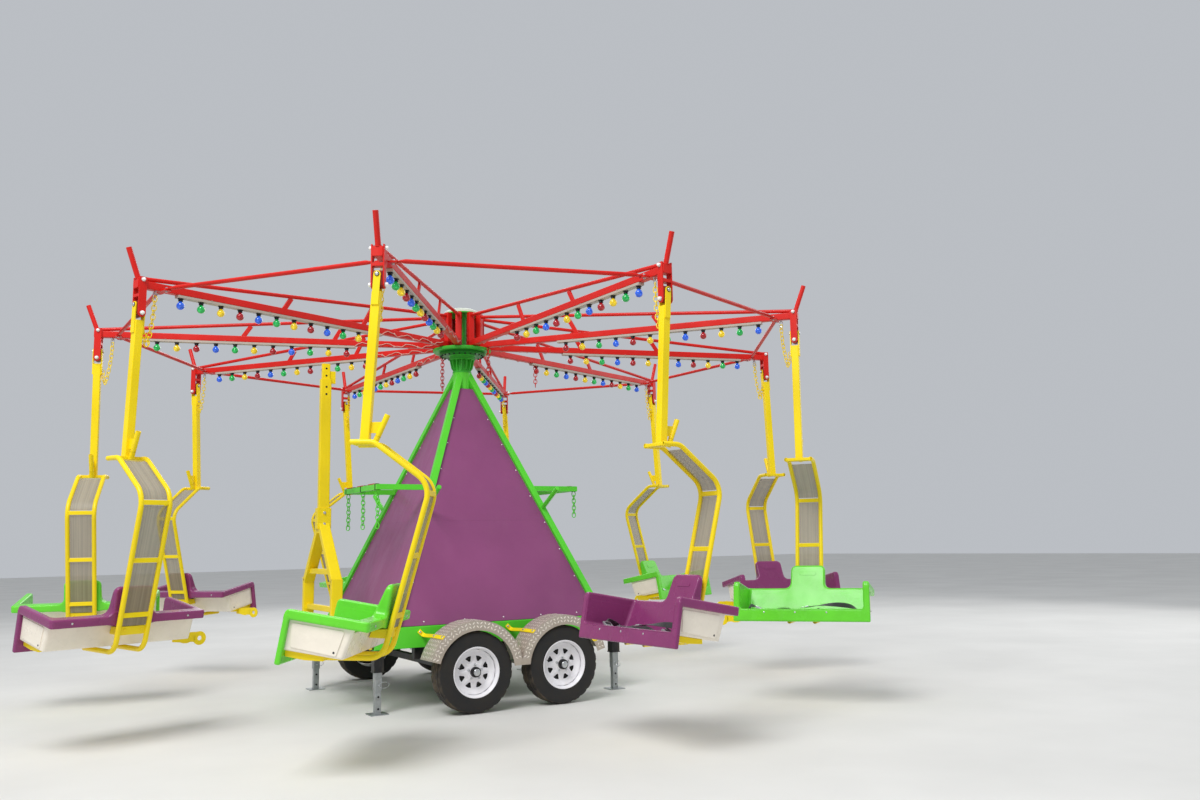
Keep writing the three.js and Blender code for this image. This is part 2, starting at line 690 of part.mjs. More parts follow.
function chassisSolid() {
  const pieces = [
    frameRail(-1), frameRail(1), crossMember(-FRAME_HALF_X + 40, 80), crossMember(FRAME_HALF_X - 40, 80),
    crossMember(-420, 60), crossMember(420, 60),
  ];
  const bores = [];
  for (const sx of [-1, 1]) {
    for (const sy of [-1, 1]) {
      const { outer, bore } = jackSleeve(sx, sy);
      pieces.push(outer);
      bores.push(bore);
    }
  }
  const cheekGap = DRAWBAR_WIDTH / 2 + 6 + 2 * SEAT_GAP;
  for (const sy of [-1, 1]) {
    for (const side of [-1, 1]) pieces.push(hingeCheek(sy * FORK_HALF_Y + side * cheekGap));
  }
  const hingeBore = boreAlong(
    point(HINGE_X, -FORK_HALF_Y - 80, HINGE_Z), point(HINGE_X, FORK_HALF_Y + 80, HINGE_Z), HINGE_PIN_RADIUS);
  return join(pieces).subtract(join(bores)).subtract(hingeBore);
}

function jackLegSolid(sx, sy) {
  const half = LEG_SIZE / 2;
  const foot = FOOT_SIZE / 2;
  const x = sx * JACK_X;
  const y = sy * JACK_Y;
  return join([
    box(x - half, x + half, y - half, y + half, 0, LEG_TOP),
    box(x - foot, x + foot, y - foot, y + foot, 0, FOOT_THICK),
  ]);
}

function springPack(x, y) {
  const top = BASE_HEIGHT - RAIL_HEIGHT - 60;
  const outline = [
    [x - SPRING_HALF, top], [x - 160, TYRE_RADIUS + 62], [x, TYRE_RADIUS + 50], [x + 160, TYRE_RADIUS + 62],
    [x + SPRING_HALF, top], [x + SPRING_HALF, top - 22], [x + 120, TYRE_RADIUS + 26],
    [x - 120, TYRE_RADIUS + 26], [x - SPRING_HALF, top - 22],
  ];
  return forwardSlab(outline, y - 30, y + 30);
}

function springHanger(x, y, half) {
  const top = BASE_HEIGHT - RAIL_HEIGHT;
  return box(x - half, x + half, y - 34, y + 34, top - 100, top - SEAT_GAP);
}

function runningGearSolid() {
  const pieces = [];
  const middle = (WHEEL_X[0] + WHEEL_X[1]) / 2;
  for (const y of [-SPRING_Y, SPRING_Y]) {
    for (const x of WHEEL_X) pieces.push(springPack(x, y));
    pieces.push(springHanger(WHEEL_X[0] - SPRING_HALF, y, 26));
    pieces.push(springHanger(middle, y, 110));
    pieces.push(springHanger(WHEEL_X[1] + SPRING_HALF, y, 26));
  }
  for (const x of WHEEL_X) {
    const half = AXLE_SIZE / 2;
    pieces.push(box(x - half, x + half, -AXLE_HALF, AXLE_HALF, TYRE_RADIUS - half, TYRE_RADIUS + half));
  }
  const wheelInner = TYRE_FACE - TYRE_WIDTH;
  for (const x of WHEEL_X) {
    for (const sy of [-1, 1]) {
      const axis = (y) => point(x, sy * y, TYRE_RADIUS);
      pieces.push(rod(axis(AXLE_HALF - 5), axis(wheelInner + 70), SPINDLE_RADIUS, 8));
      pieces.push(rod(axis(AXLE_HALF - 40), axis(AXLE_HALF + 6), DRUM_RADIUS, 12));
    }
  }
  return join(pieces);
}

// Tyre and dished rim, turned about the axle; the open end of the hub faces the axle
function wheelGeometry(sy) {
  const spindle = (SPINDLE_RADIUS + SEAT_GAP) / Math.cos(Math.PI / WHEEL_SIDES);
  const profile = [
    [0, 75], [spindle, 75], [spindle, 20], [60, 20], [60, 96], [170, 96], [202, 0],
    [305, 4], [TYRE_RADIUS, 42], [TYRE_RADIUS, 163], [305, 201], [212, TYRE_WIDTH],
    [186, 130], [62, 128], [40, 198], [0, 200],
  ];
  const geometry = new THREE.LatheGeometry(profile.map(([r, z]) => new THREE.Vector2(r, z)), WHEEL_SIDES);
  const inner = TYRE_FACE - TYRE_WIDTH;
  geometry.translate(0, inner, 0);
  if (sy < 0) geometry.rotateZ(Math.PI);
  return geometry;
}

// Two arches of folded plate that meet between the wheels, with a lip along the outside
function fenderOutline(radius) {
  const halfPitch = (WHEEL_X[1] - WHEEL_X[0]) / 2;
  const valley = THREE.MathUtils.radToDeg(Math.acos(halfPitch / radius));
  return [
    ...roundEnd([WHEEL_X[0], TYRE_RADIUS], radius, 180 - FENDER_END, valley, 6),
    ...roundEnd([WHEEL_X[1], TYRE_RADIUS], radius, 180 - valley, FENDER_END, 6).slice(1),
  ];
}

function fenderBand(outerRadius, innerRadius, y0, y1) {
  const outer = fenderOutline(outerRadius);
  const inner = [
    ...roundEnd([WHEEL_X[0], TYRE_RADIUS], innerRadius, 180 - FENDER_END, VALLEY_END, 6),
    ...roundEnd([WHEEL_X[1], TYRE_RADIUS], innerRadius, 180 - VALLEY_END, FENDER_END, 6),
  ].reverse();
  return forwardSlab([...outer, ...inner], y0, y1);
}

function fenderSolid(sy) {
  const span = (near, far) => (sy < 0 ? [-far, -near] : [near, far]);
  const stayTurn = THREE.MathUtils.degToRad(STAY_ANGLE);
  const pieces = [
    fenderBand(FENDER_RADIUS, FENDER_RADIUS - FENDER_THICK - 2, ...span(FENDER_INNER, FENDER_OUTER)),
    fenderBand(FENDER_RADIUS, FENDER_RADIUS - FENDER_LIP, ...span(FENDER_OUTER - FENDER_THICK, FENDER_OUTER)),
  ];
  for (const wheelX of WHEEL_X) {
    const x = wheelX + (FENDER_RADIUS - 6) * Math.cos(stayTurn);
    const z = TYRE_RADIUS + (FENDER_RADIUS - 6) * Math.sin(stayTurn);
    const slope = point(Math.sin(stayTurn), 0, -Math.cos(stayTurn));
    const [y0, y1] = span(RAIL_OUTER + SEAT_GAP, FENDER_OUTER - 4);
    pieces.push(bar(point(x, y0, z), point(x, y1, z), 36, 12, slope));
  }
  return join(pieces);
}

// Drawbar with its forked foot, hinged at the end of the trailer frame and folded upright

function hingeJoint(sy) {
  const y = sy * FORK_HALF_Y;
  const half = DRAWBAR_WIDTH / 2;
  const reach = half + 12 + 2 * SEAT_GAP + SEAT_GAP + PIN_HEAD_LENGTH;
  const head = (from, to) => rod(point(HINGE_X, from, HINGE_Z), point(HINGE_X, to, HINGE_Z), 24, 6);
  return join([
    rod(point(HINGE_X, y - half, HINGE_Z), point(HINGE_X, y + half, HINGE_Z), DRAWBAR_SIZE / 2, 12),
    rod(point(HINGE_X, y - reach, HINGE_Z), point(HINGE_X, y + reach, HINGE_Z), HINGE_PIN_RADIUS),
    head(y - reach, y - reach + PIN_HEAD_LENGTH),
    head(y + reach - PIN_HEAD_LENGTH, y + reach),
  ]);
}

function drawbarSolid() {
  const at = (y, z) => point(HINGE_X, y, z);
  const level = point(1, 0, 0);
  const pieces = [
    bar(at(0, FORK_TOP - 40), at(0, DRAWBAR_TOP - 150), DRAWBAR_SIZE, DRAWBAR_WIDTH, level),
    bar(at(0, DRAWBAR_TOP - 160), at(0, DRAWBAR_TOP), DRAWBAR_SIZE - 24, DRAWBAR_WIDTH - 16, level),
    bar(at(0, FORK_TOP), at(0, SLEEVE_TOP), DRAWBAR_SIZE + 30, DRAWBAR_WIDTH + 30, level),
    box(HINGE_X + 40, HINGE_X + 92, -16, 16, DRAWBAR_TOP - 190, DRAWBAR_TOP - 70),
  ];
  for (const sy of [-1, 1]) {
    const bend = at(sy * (FORK_HALF_Y - 8), FORK_BEND);
    pieces.push(bar(at(sy * 18, FORK_TOP + 36), bend, DRAWBAR_SIZE, DRAWBAR_WIDTH, level));
    pieces.push(bar(at(sy * FORK_HALF_Y, FORK_BEND + 24), at(sy * FORK_HALF_Y, HINGE_Z), DRAWBAR_SIZE,
      DRAWBAR_WIDTH, level));
    pieces.push(hingeJoint(sy));
  }
  for (const [height, half] of FORK_BARS) {
    pieces.push(bar(at(-half, height), at(half, height), 50, 50, level));
  }
  return join(pieces);
}

// Assembly

const RED = 0xe0281e;
const DARK_RED = 0x8e1a18;
const YELLOW = 0xf2d70c;
const GREEN = 0x43c832;
const DARK_GREEN = 0x1f7a2c;
const PURPLE = 0x7d3f86;
const SEAT_COLOURS = [0x35c63c, 0x6d2f6b];
const STEEL = 0xb9bcbc;
const RUBBER = 0x1d1d1e;
const BLACK = 0x2a2a2b;

const ride = new THREE.Group();

function addPiece(name, geometry, color, look = {}) {
  const { roughness = 0.45, metalness = 0.1, turn = 0, x = 0, z = 0 } = look;
  const mesh = new THREE.Mesh(geometry, new THREE.MeshStandardMaterial({ color, roughness, metalness }));
  mesh.name = name;
  mesh.rotation.z = turn;
  mesh.position.set(x, 0, z);
  ride.add(mesh);
}

function addTrailer() {
  addPiece('chassis', shapeOf(chassisSolid()), GREEN);
  addPiece('running_gear', shapeOf(runningGearSolid()), BLACK, { roughness: 0.7 });
  addPiece('drawbar', shapeOf(drawbarSolid()), YELLOW);
  addPiece('fender_near', shapeOf(fenderSolid(-1)), STEEL, { metalness: 0.8, roughness: 0.35 });
  addPiece('fender_far', shapeOf(fenderSolid(1)), STEEL, { metalness: 0.8, roughness: 0.35 });
  for (const [end, sx] of [['left', -1], ['right', 1]]) {
    for (const [flank, sy] of [['near', -1], ['far', 1]]) {
      addPiece(`jack_leg_${flank}_${end}`, shapeOf(jackLegSolid(sx, sy)), STEEL, { metalness: 0.7 });
      const x = WHEEL_X[(sx + 1) / 2];
      addPiece(`wheel_${flank}_${end}`, wheelGeometry(sy), RUBBER, { roughness: 0.85, x, z: TYRE_RADIUS });
    }
  }
}

function addTower() {
  addPiece('tower_frame', shapeOf(towerFrameSolid()), GREEN);
  const sides = ['near', 'right', 'far', 'left'];
  sides.forEach((side, i) => {
    addPiece(`tower_sheet_${side}`, shapeOf(sheetSolid(CORNERS[i], CORNERS[(i + 1) % 4])), PURPLE);
  });
  addPiece('tower_head', shapeOf(towerHeadSolid()), DARK_GREEN);
}

function addRotor() {
  addPiece('rotor_hub', shapeOf(hubSolid()), DARK_GREEN);
  const armShape = shapeOf(armSolid(true));
  const bareArmShape = shapeOf(armSolid(false));
  const knuckleShape = shapeOf(knuckleSolid());
  const hangerShape = shapeOf(hangerSolid());
  const shellShape = shapeOf(shellSolid());
  for (let i = 0; i < ARM_COUNT; i += 1) {
    const turn = FIRST_ARM_ANGLE + i * ARM_PITCH;
    addPiece(`arm_${i + 1}`, i === ARM_WITHOUT_MAST ? bareArmShape : armShape, RED, { turn });
    addPiece(`knuckle_${i + 1}`, knuckleShape, DARK_RED, { turn });
    addPiece(`hanger_${i + 1}`, hangerShape, YELLOW, { turn });
    addPiece(`seat_shell_${i + 1}`, shellShape, SEAT_COLOURS[i % 2], { turn, roughness: 0.25 });
  }
}

addTrailer();
addTower();
addRotor();

export default ride;
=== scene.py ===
from math import acos, atan2, copysign, cos, degrees, hypot, pi, radians, sin, tan
import bmesh
import bpy
import numpy as np
from mathutils import Matrix, Vector


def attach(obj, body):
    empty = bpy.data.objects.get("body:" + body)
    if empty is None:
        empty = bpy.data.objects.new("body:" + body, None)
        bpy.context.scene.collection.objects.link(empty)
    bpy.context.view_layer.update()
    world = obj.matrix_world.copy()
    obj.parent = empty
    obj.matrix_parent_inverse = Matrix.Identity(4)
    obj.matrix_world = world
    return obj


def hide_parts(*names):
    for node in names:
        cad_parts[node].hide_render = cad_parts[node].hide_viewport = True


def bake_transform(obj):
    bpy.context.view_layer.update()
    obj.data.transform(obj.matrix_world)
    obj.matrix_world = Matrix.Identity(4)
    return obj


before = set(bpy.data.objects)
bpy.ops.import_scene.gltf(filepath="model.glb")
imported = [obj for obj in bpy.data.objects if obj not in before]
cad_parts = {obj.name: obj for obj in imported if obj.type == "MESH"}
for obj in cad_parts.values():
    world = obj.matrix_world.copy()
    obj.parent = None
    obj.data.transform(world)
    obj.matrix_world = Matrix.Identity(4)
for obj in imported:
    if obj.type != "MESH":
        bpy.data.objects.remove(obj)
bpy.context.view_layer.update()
SCENE = bpy.context.scene
MM = 0.001

# Sizes in millimetres, as in the part's source
ARMS = 10
PITCH = 2 * pi / ARMS
FIRST_ARM = radians(-123.07)
PIVOT_R, PIVOT_Z, BOLT_Z = 3450, 3233, 3300
BEAM_LOW, BEAM_TOP, LUG_R, CHAIN_R = 3435, 3495, 3270, 3328
LAMPS, LAMP_R, LAMP_GAP = 12, 3115, 177  # on each arm; radius of the outermost and spacing inward
BARE_ARM = 3  # the arm without a stub mast
LEAN, TILT = radians(3.9), radians(10.5)  # of the hanger and of the shell
REAR_RIM = (-125, 957)  # forward and up, where the shell's own measures start
SPREAD = 108  # from a seat's middle to its bent tubes
APEX, BASE_Z, BASE_X, BASE_Y = 3274, 717, 1040, 968
JACK_X, JACK_Y, PIN_Z, RAIL_LOW = 1195, 951, 245, 536
RACK_X = 1045
HINGE_X, HINGE_Y, HINGE_Z = -1420, 465, 575
WHEEL_X, TYRE_R, FACE_Y, TYRE_W = (-506, 346), 344, 1484, 205
ARCH_R, ARCH_IN, ARCH_OUT = 432, 1240, 1502
DISC_IN, DISC_OUT, WINDOWS = 44, 190, 8
SHELL_W, BODY_W, PIT_W, RIM_L = 577, 548, 522, 540
BEHIND = 250  # along the shell, where its rear corners give way to its front ones


def put(name, data):
    made = bpy.data.objects.new(name, data)
    SCENE.collection.objects.link(made)
    return made


def set_camera():
    data = bpy.data.cameras.new("camera")
    data.lens, data.sensor_width = 29.91, 36
    data.clip_start, data.clip_end = 0.05, 300
    ahead = Vector((0.51516, 0.84541, 0.14104)).normalized()
    right = Vector((0.85525, -0.51784, -0.01986))
    right = (right - right.dot(ahead) * ahead).normalized()
    turn = Matrix((right, right.cross(ahead), -ahead)).transposed().to_4x4()
    SCENE.camera = put("camera", data)
    SCENE.camera.matrix_world = Matrix.Translation((-4.1038, -9.4846, 1.4196)) @ turn


set_camera()


# Materials

MATERIALS = {}


def srgb(code):
    parts = [int(code[i:i + 2], 16) / 255 for i in (0, 2, 4)]
    return [p / 12.92 if p <= 0.04045 else ((p + 0.055) / 1.055) ** 2.4 for p in parts] + [1]


def shade(colour, factor):
    return [min(1, c * factor) for c in colour[:3]] + [1]


def toward(colour, code, share):
    return [a * (1 - share) + b * share for a, b in zip(colour, srgb(code))]


class Nodes:
    """Short way to build one material's node tree."""

    def __init__(self, name):
        self.name, self.material = name, bpy.data.materials.new(name)
        self.material.use_nodes = True
        self.tree = self.material.node_tree
        self.coords = self.tree.nodes.new("ShaderNodeTexCoord").outputs["Object"]

    def fill(self, node, values):
        for key, value in values.items():
            if isinstance(value, bpy.types.NodeSocket):
                self.tree.links.new(value, node.inputs[key])
            else:
                node.inputs[key].default_value = value

    def node(self, kind, values, **settings):
        made = self.tree.nodes.new(kind)
        for key, value in settings.items():
            setattr(made, key, value)
        self.fill(made, values)
        return made

    def noise(self, scale, detail, rough=0.55, stretch=None):
        vector = self.coords
        if stretch:
            vector = self.node("ShaderNodeMapping", {"Vector": vector, "Scale": stretch}).outputs[0]
        values = {"Vector": vector, "Scale": scale, "Detail": detail, "Roughness": rough}
        return self.node("ShaderNodeTexNoise", values).outputs[0]

    def remap(self, value, low, high, to_low=0, to_high=1):
        keys = ("Value", "From Min", "From Max", "To Min", "To Max")
        return self.node("ShaderNodeMapRange", dict(zip(keys, (value, low, high, to_low, to_high)))).outputs[0]

    def mix(self, factor, first, second):
        return self.node("ShaderNodeMix", {0: factor, 6: first, 7: second}, data_type="RGBA").outputs[2]

    def math(self, operation, first, second):
        return self.node("ShaderNodeMath", {0: first, 1: second}, operation=operation).outputs[0]

    def bump(self, height, strength, distance, **normal):
        values = {"Height": height, "Strength": strength, "Distance": distance, **normal}
        return self.node("ShaderNodeBump", values).outputs[0]

    def finish(self, tone, rough, **values):
        values = {"Base_Color": tone, "Roughness": rough, **values}
        self.fill(self.tree.nodes["Principled BSDF"], {key.replace("_", " "): value for key, value in values.items()})
        MATERIALS[self.name] = self.material


def paint(name, code, gloss=0.34, chips=0.0, dirt=0.08, coat=0.06, peel=0.05):
    """Sprayed enamel: slow tone drift, faint dust in streaks, orange peel, and chips where it has edges."""
    n, base = Nodes(name), srgb(code)
    tone = n.mix(n.remap(n.noise(1.6, 4), 0.3, 0.7), shade(base, 0.9), shade(base, 1.07))
    tone = n.mix(n.remap(n.noise(90, 2), 0.55, 0.8, 0, 0.12), tone, shade(base, 0.72))
    dust = n.noise(5, 6, 0.65, (1, 1, 0.35))
    tone = n.mix(n.remap(dust, 0.52, 0.78, 0, dirt), tone, toward(base, "B7A98E", 0.42))
    rough = n.remap(dust, 0.4, 0.75, gloss, gloss + 0.22)
    if chips:
        mask = n.remap(n.noise(42, 5, 0.7), 0.66 - chips * 0.2, 0.7 - chips * 0.2, 0, 0.7)
        tone = n.mix(mask, tone, toward(base, "8D8A85", 0.55))
        rough = n.math("ADD", rough, n.math("MULTIPLY", mask, 0.25))
    normal = n.bump(n.noise(14, 2), 0.12, 0.003, Normal=n.bump(n.noise(260, 2), peel, 0.0012))
    n.finish(tone, rough, Normal=normal, Coat_Weight=coat, Coat_Roughness=0.12, Specular_IOR_Level=0.3)


def gelcoat(name, code, dust_code="C9C0AE", gloss=0.2):
    """Moulded glass-fibre skin: wet gloss with gentle ripples and fine rubbed marks."""
    n, base = Nodes(name), srgb(code)
    tone = n.mix(n.remap(n.noise(3.2, 4), 0.3, 0.7), shade(base, 0.88), shade(base, 1.08))
    rubs = n.noise(9, 5, 0.6)
    tone = n.mix(n.remap(rubs, 0.58, 0.8, 0, 0.05), tone, toward(base, dust_code, 0.5))
    normal = n.bump(n.noise(180, 2), 0.015, 0.001, Normal=n.bump(n.noise(7, 2), 0.14, 0.003))
    n.finish(tone, n.remap(rubs, 0.35, 0.75, gloss, gloss + 0.14), Normal=normal, Coat_Weight=0.12,
             Coat_Roughness=0.08, Specular_IOR_Level=0.3)


def metal(name, code, rough, spangle, grime, metallic=0.9):
    """Bare or plated metal with brushed tone, spangle and grime in the hollows of a noise."""
    n, base = Nodes(name), srgb(code)
    cells = n.node("ShaderNodeTexVoronoi", {"Vector": n.coords, "Scale": 30}).outputs["Color"]
    value = n.node("ShaderNodeSeparateColor", {0: cells}).outputs[0]
    tone = n.mix(n.remap(value, 0, 1, 0, spangle), base, shade(base, 0.62))
    dull = n.noise(11, 6, 0.7)
    tone = n.mix(n.remap(dull, 0.5, 0.72, 0, grime), tone, toward(base, "5F564A", 0.65))
    n.finish(tone, n.remap(dull, 0.35, 0.7, rough, rough + 0.25), Normal=n.bump(n.noise(140, 4), 0.1, 0.001),
             Metallic=metallic)


def rubber(name, code, dust, rough):
    n = Nodes(name)
    wear = n.noise(7, 6, 0.7)
    tone = n.mix(n.remap(wear, 0.42, 0.75, 0, dust), srgb(code), srgb("7A6A55"))
    n.finish(tone, n.remap(wear, 0.3, 0.7, rough - 0.12, rough + 0.2), Normal=n.bump(n.noise(120, 4), 0.25, 0.0015))


def lamp_glass(name, code):
    """Coloured plastic globe: deep tint with a moulded seam shade and clear gloss."""
    n, base = Nodes(name), srgb(code)
    cloud = n.noise(30, 3)
    tone = n.mix(n.remap(cloud, 0.3, 0.7), shade(base, 0.75), shade(base, 1.3))
    n.finish(tone, n.remap(cloud, 0.3, 0.7, 0.05, 0.16), Normal=n.bump(n.noise(55, 2), 0.05, 0.001),
             Transmission_Weight=0.35, IOR=1.45, Coat_Weight=0.7, Coat_Roughness=0.04, Emission_Color=base,
             Emission_Strength=0.16)


def ribbed_panel():
    """Smoky sheet in the seat frames, with fine lengthwise streaks."""
    n = Nodes("panel")
    streak = n.noise(70, 3, 0.6, (1, 0.01, 0.01))
    tone = n.mix(n.remap(streak, 0.35, 0.65), srgb("9A8E74"), srgb("B4A88C"))
    n.finish(tone, n.remap(streak, 0.3, 0.7, 0.38, 0.5), Normal=n.bump(streak, 0.15, 0.001),
             Specular_IOR_Level=0.3, Alpha=0.56)


def webbing():
    n = Nodes("webbing")
    weave = n.node("ShaderNodeTexWave", {"Vector": n.coords, "Scale": 240, "Distortion": 0.6}).outputs[1]
    n.finish(n.mix(n.remap(weave, 0, 1), srgb("0E0E10"), srgb("2B2B2E")), n.remap(n.noise(20, 3), 0.3, 0.7, 0.55, 0.8),
             Normal=n.bump(weave, 0.4, 0.001), Sheen_Weight=0.3)


# The darkest green, used on the head's ring flange, is the tower green in painted shade.
for name, code in (("red", "CE1A10"), ("dark_red", "7E120E"), ("yellow", "F6D90E"), ("green", "5AD434"),
                   ("dark_green", "157A1C")):
    paint(name, code)
    paint(name + "_edge", code, 0.42, chips=0.1)
paint("sheet", "8D4A78", 0.34, dirt=0.06, coat=0.05, peel=0.03)
# Hub green: the tower's green darkened, painted shade of the arms over the hub and the head's collar.
paint("hub_green", "3CB032")
paint("rim_white", "EFEDF1", 0.25, dirt=0.2)
paint("white_cap", "F2F2EF", 0.3, dirt=0.1)
paint("dome", "C4CBBB", 0.3, dirt=0.2)
paint("black", "1E1E20", 0.38, dirt=0.35)
# Lamp strips and pad end straps are pale; this greyer tone is painted shade.
paint("strip", "B4A99D", 0.4, dirt=0.15)
paint("pad_red", "B3261E", 0.55, dirt=0.4, coat=0)
paint("band", "1C2A1E", 0.6, dirt=0.3, coat=0)
paint("socket", "131315", 0.4, dirt=0.1)
gelcoat("shell_green", "6ADA34")
gelcoat("shell_purple", "8A3A6E")
gelcoat("cream", "F3EADA", "A99C86", 0.24)
metal("galvanized", "B3B7B8", 0.38, 0.5, 0.3)
metal("tread_plate", "C2B6A9", 0.4, 0.15, 0.3, 0.5)
metal("stud", "F6EEE4", 0.24, 0.05, 0.1, 0.6)
metal("silver", "CDD0D2", 0.22, 0.1, 0.15)
metal("dark_steel", "3A3B3D", 0.45, 0.2, 0.5, 0.7)
rubber("tyre", "151415", 0.1, 0.55)
rubber("tread", "2A2522", 0.7, 0.75)
rubber("wire", "D8A79C", 0.2, 0.5)
ribbed_panel()
webbing()
BULBS = ("bulb_blue", "bulb_green", "bulb_yellow", "bulb_red")
for name, code in zip(BULBS, ("2A66DC", "16B455", "E9CB22", "A50F1E")):
    lamp_glass(name, code)


# Mesh building

def unit(vector):
    return Vector(vector).normalized()


def square_to(axis):
    """Two directions at right angles to an axis and to each other."""
    side = axis.orthogonal().normalized()
    return side, axis.cross(side)


def turns(count):
    return [2 * pi * i / count for i in range(count)]


def polar(radius, angle):
    return radius * cos(angle), radius * sin(angle)


def around(radius, angle, y=0):
    """Point at an angle about the Y axis."""
    return Vector((radius * cos(angle), y, radius * sin(angle)))


def circle(radius, sides):
    return [polar(radius, a) for a in turns(sides)]


def arc(centre, radius, start, end, steps):
    angles = [radians(start + (end - start) * i / steps) for i in range(steps + 1)]
    return [(centre[0] + radius * cos(a), centre[1] + radius * sin(a)) for a in angles]


def round_corners(points, radius, steps, closed=True):
    """Polyline in the plane or in space with each corner replaced by an arc."""
    points = [Vector(p) for p in points]
    radii = radius if isinstance(radius, (list, tuple)) else [radius] * len(points)
    made = []
    for i, here in enumerate(points):
        if radii[i] <= 0 or (not closed and i in (0, len(points) - 1)):
            made.append(here)
            continue
        before, after = points[i - 1], points[(i + 1) % len(points)]
        a, b = (before - here), (after - here)
        half = max(a.angle(b) / 2, 0.05)
        sweep = pi - 2 * half
        if sweep < 0.02:
            made.append(here)
            continue
        cut = min(radii[i] / tan(half), a.length * 0.49, b.length * 0.49)
        p, q = here + a.normalized() * cut, here + b.normalized() * cut
        bow = cut * tan(half)
        middle = here + (a.normalized() + b.normalized()).normalized() * hypot(cut, bow)
        for j in range(steps + 1):
            t = j / steps
            made.append(middle + (p - middle) * (sin((1 - t) * sweep) / sin(sweep))
                        + (q - middle) * (sin(t * sweep) / sin(sweep)))
    return made


def flat_points(corners, radius, steps=4):
    return [tuple(p) for p in round_corners(corners, radius, steps)]


def rounded_box(a0, a1, b0, b1, radius, steps):
    return flat_points([(a0, b0), (a1, b0), (a1, b1), (a0, b1)], radius, steps)


def grid_faces(rows, columns, closed=True):
    """Quads of a grid whose columns join up into a ring, and whose rows may."""
    pairs = [(i * columns, (i + 1) % rows * columns) for i in range(rows if closed else rows - 1)]
    return [[a + j, a + (j + 1) % columns, b + (j + 1) % columns, b + j] for a, b in pairs for j in range(columns)]


def along_x(a, b, d):
    return (d, a, b)


def along_z(a, b, d):
    return (a, b, d)


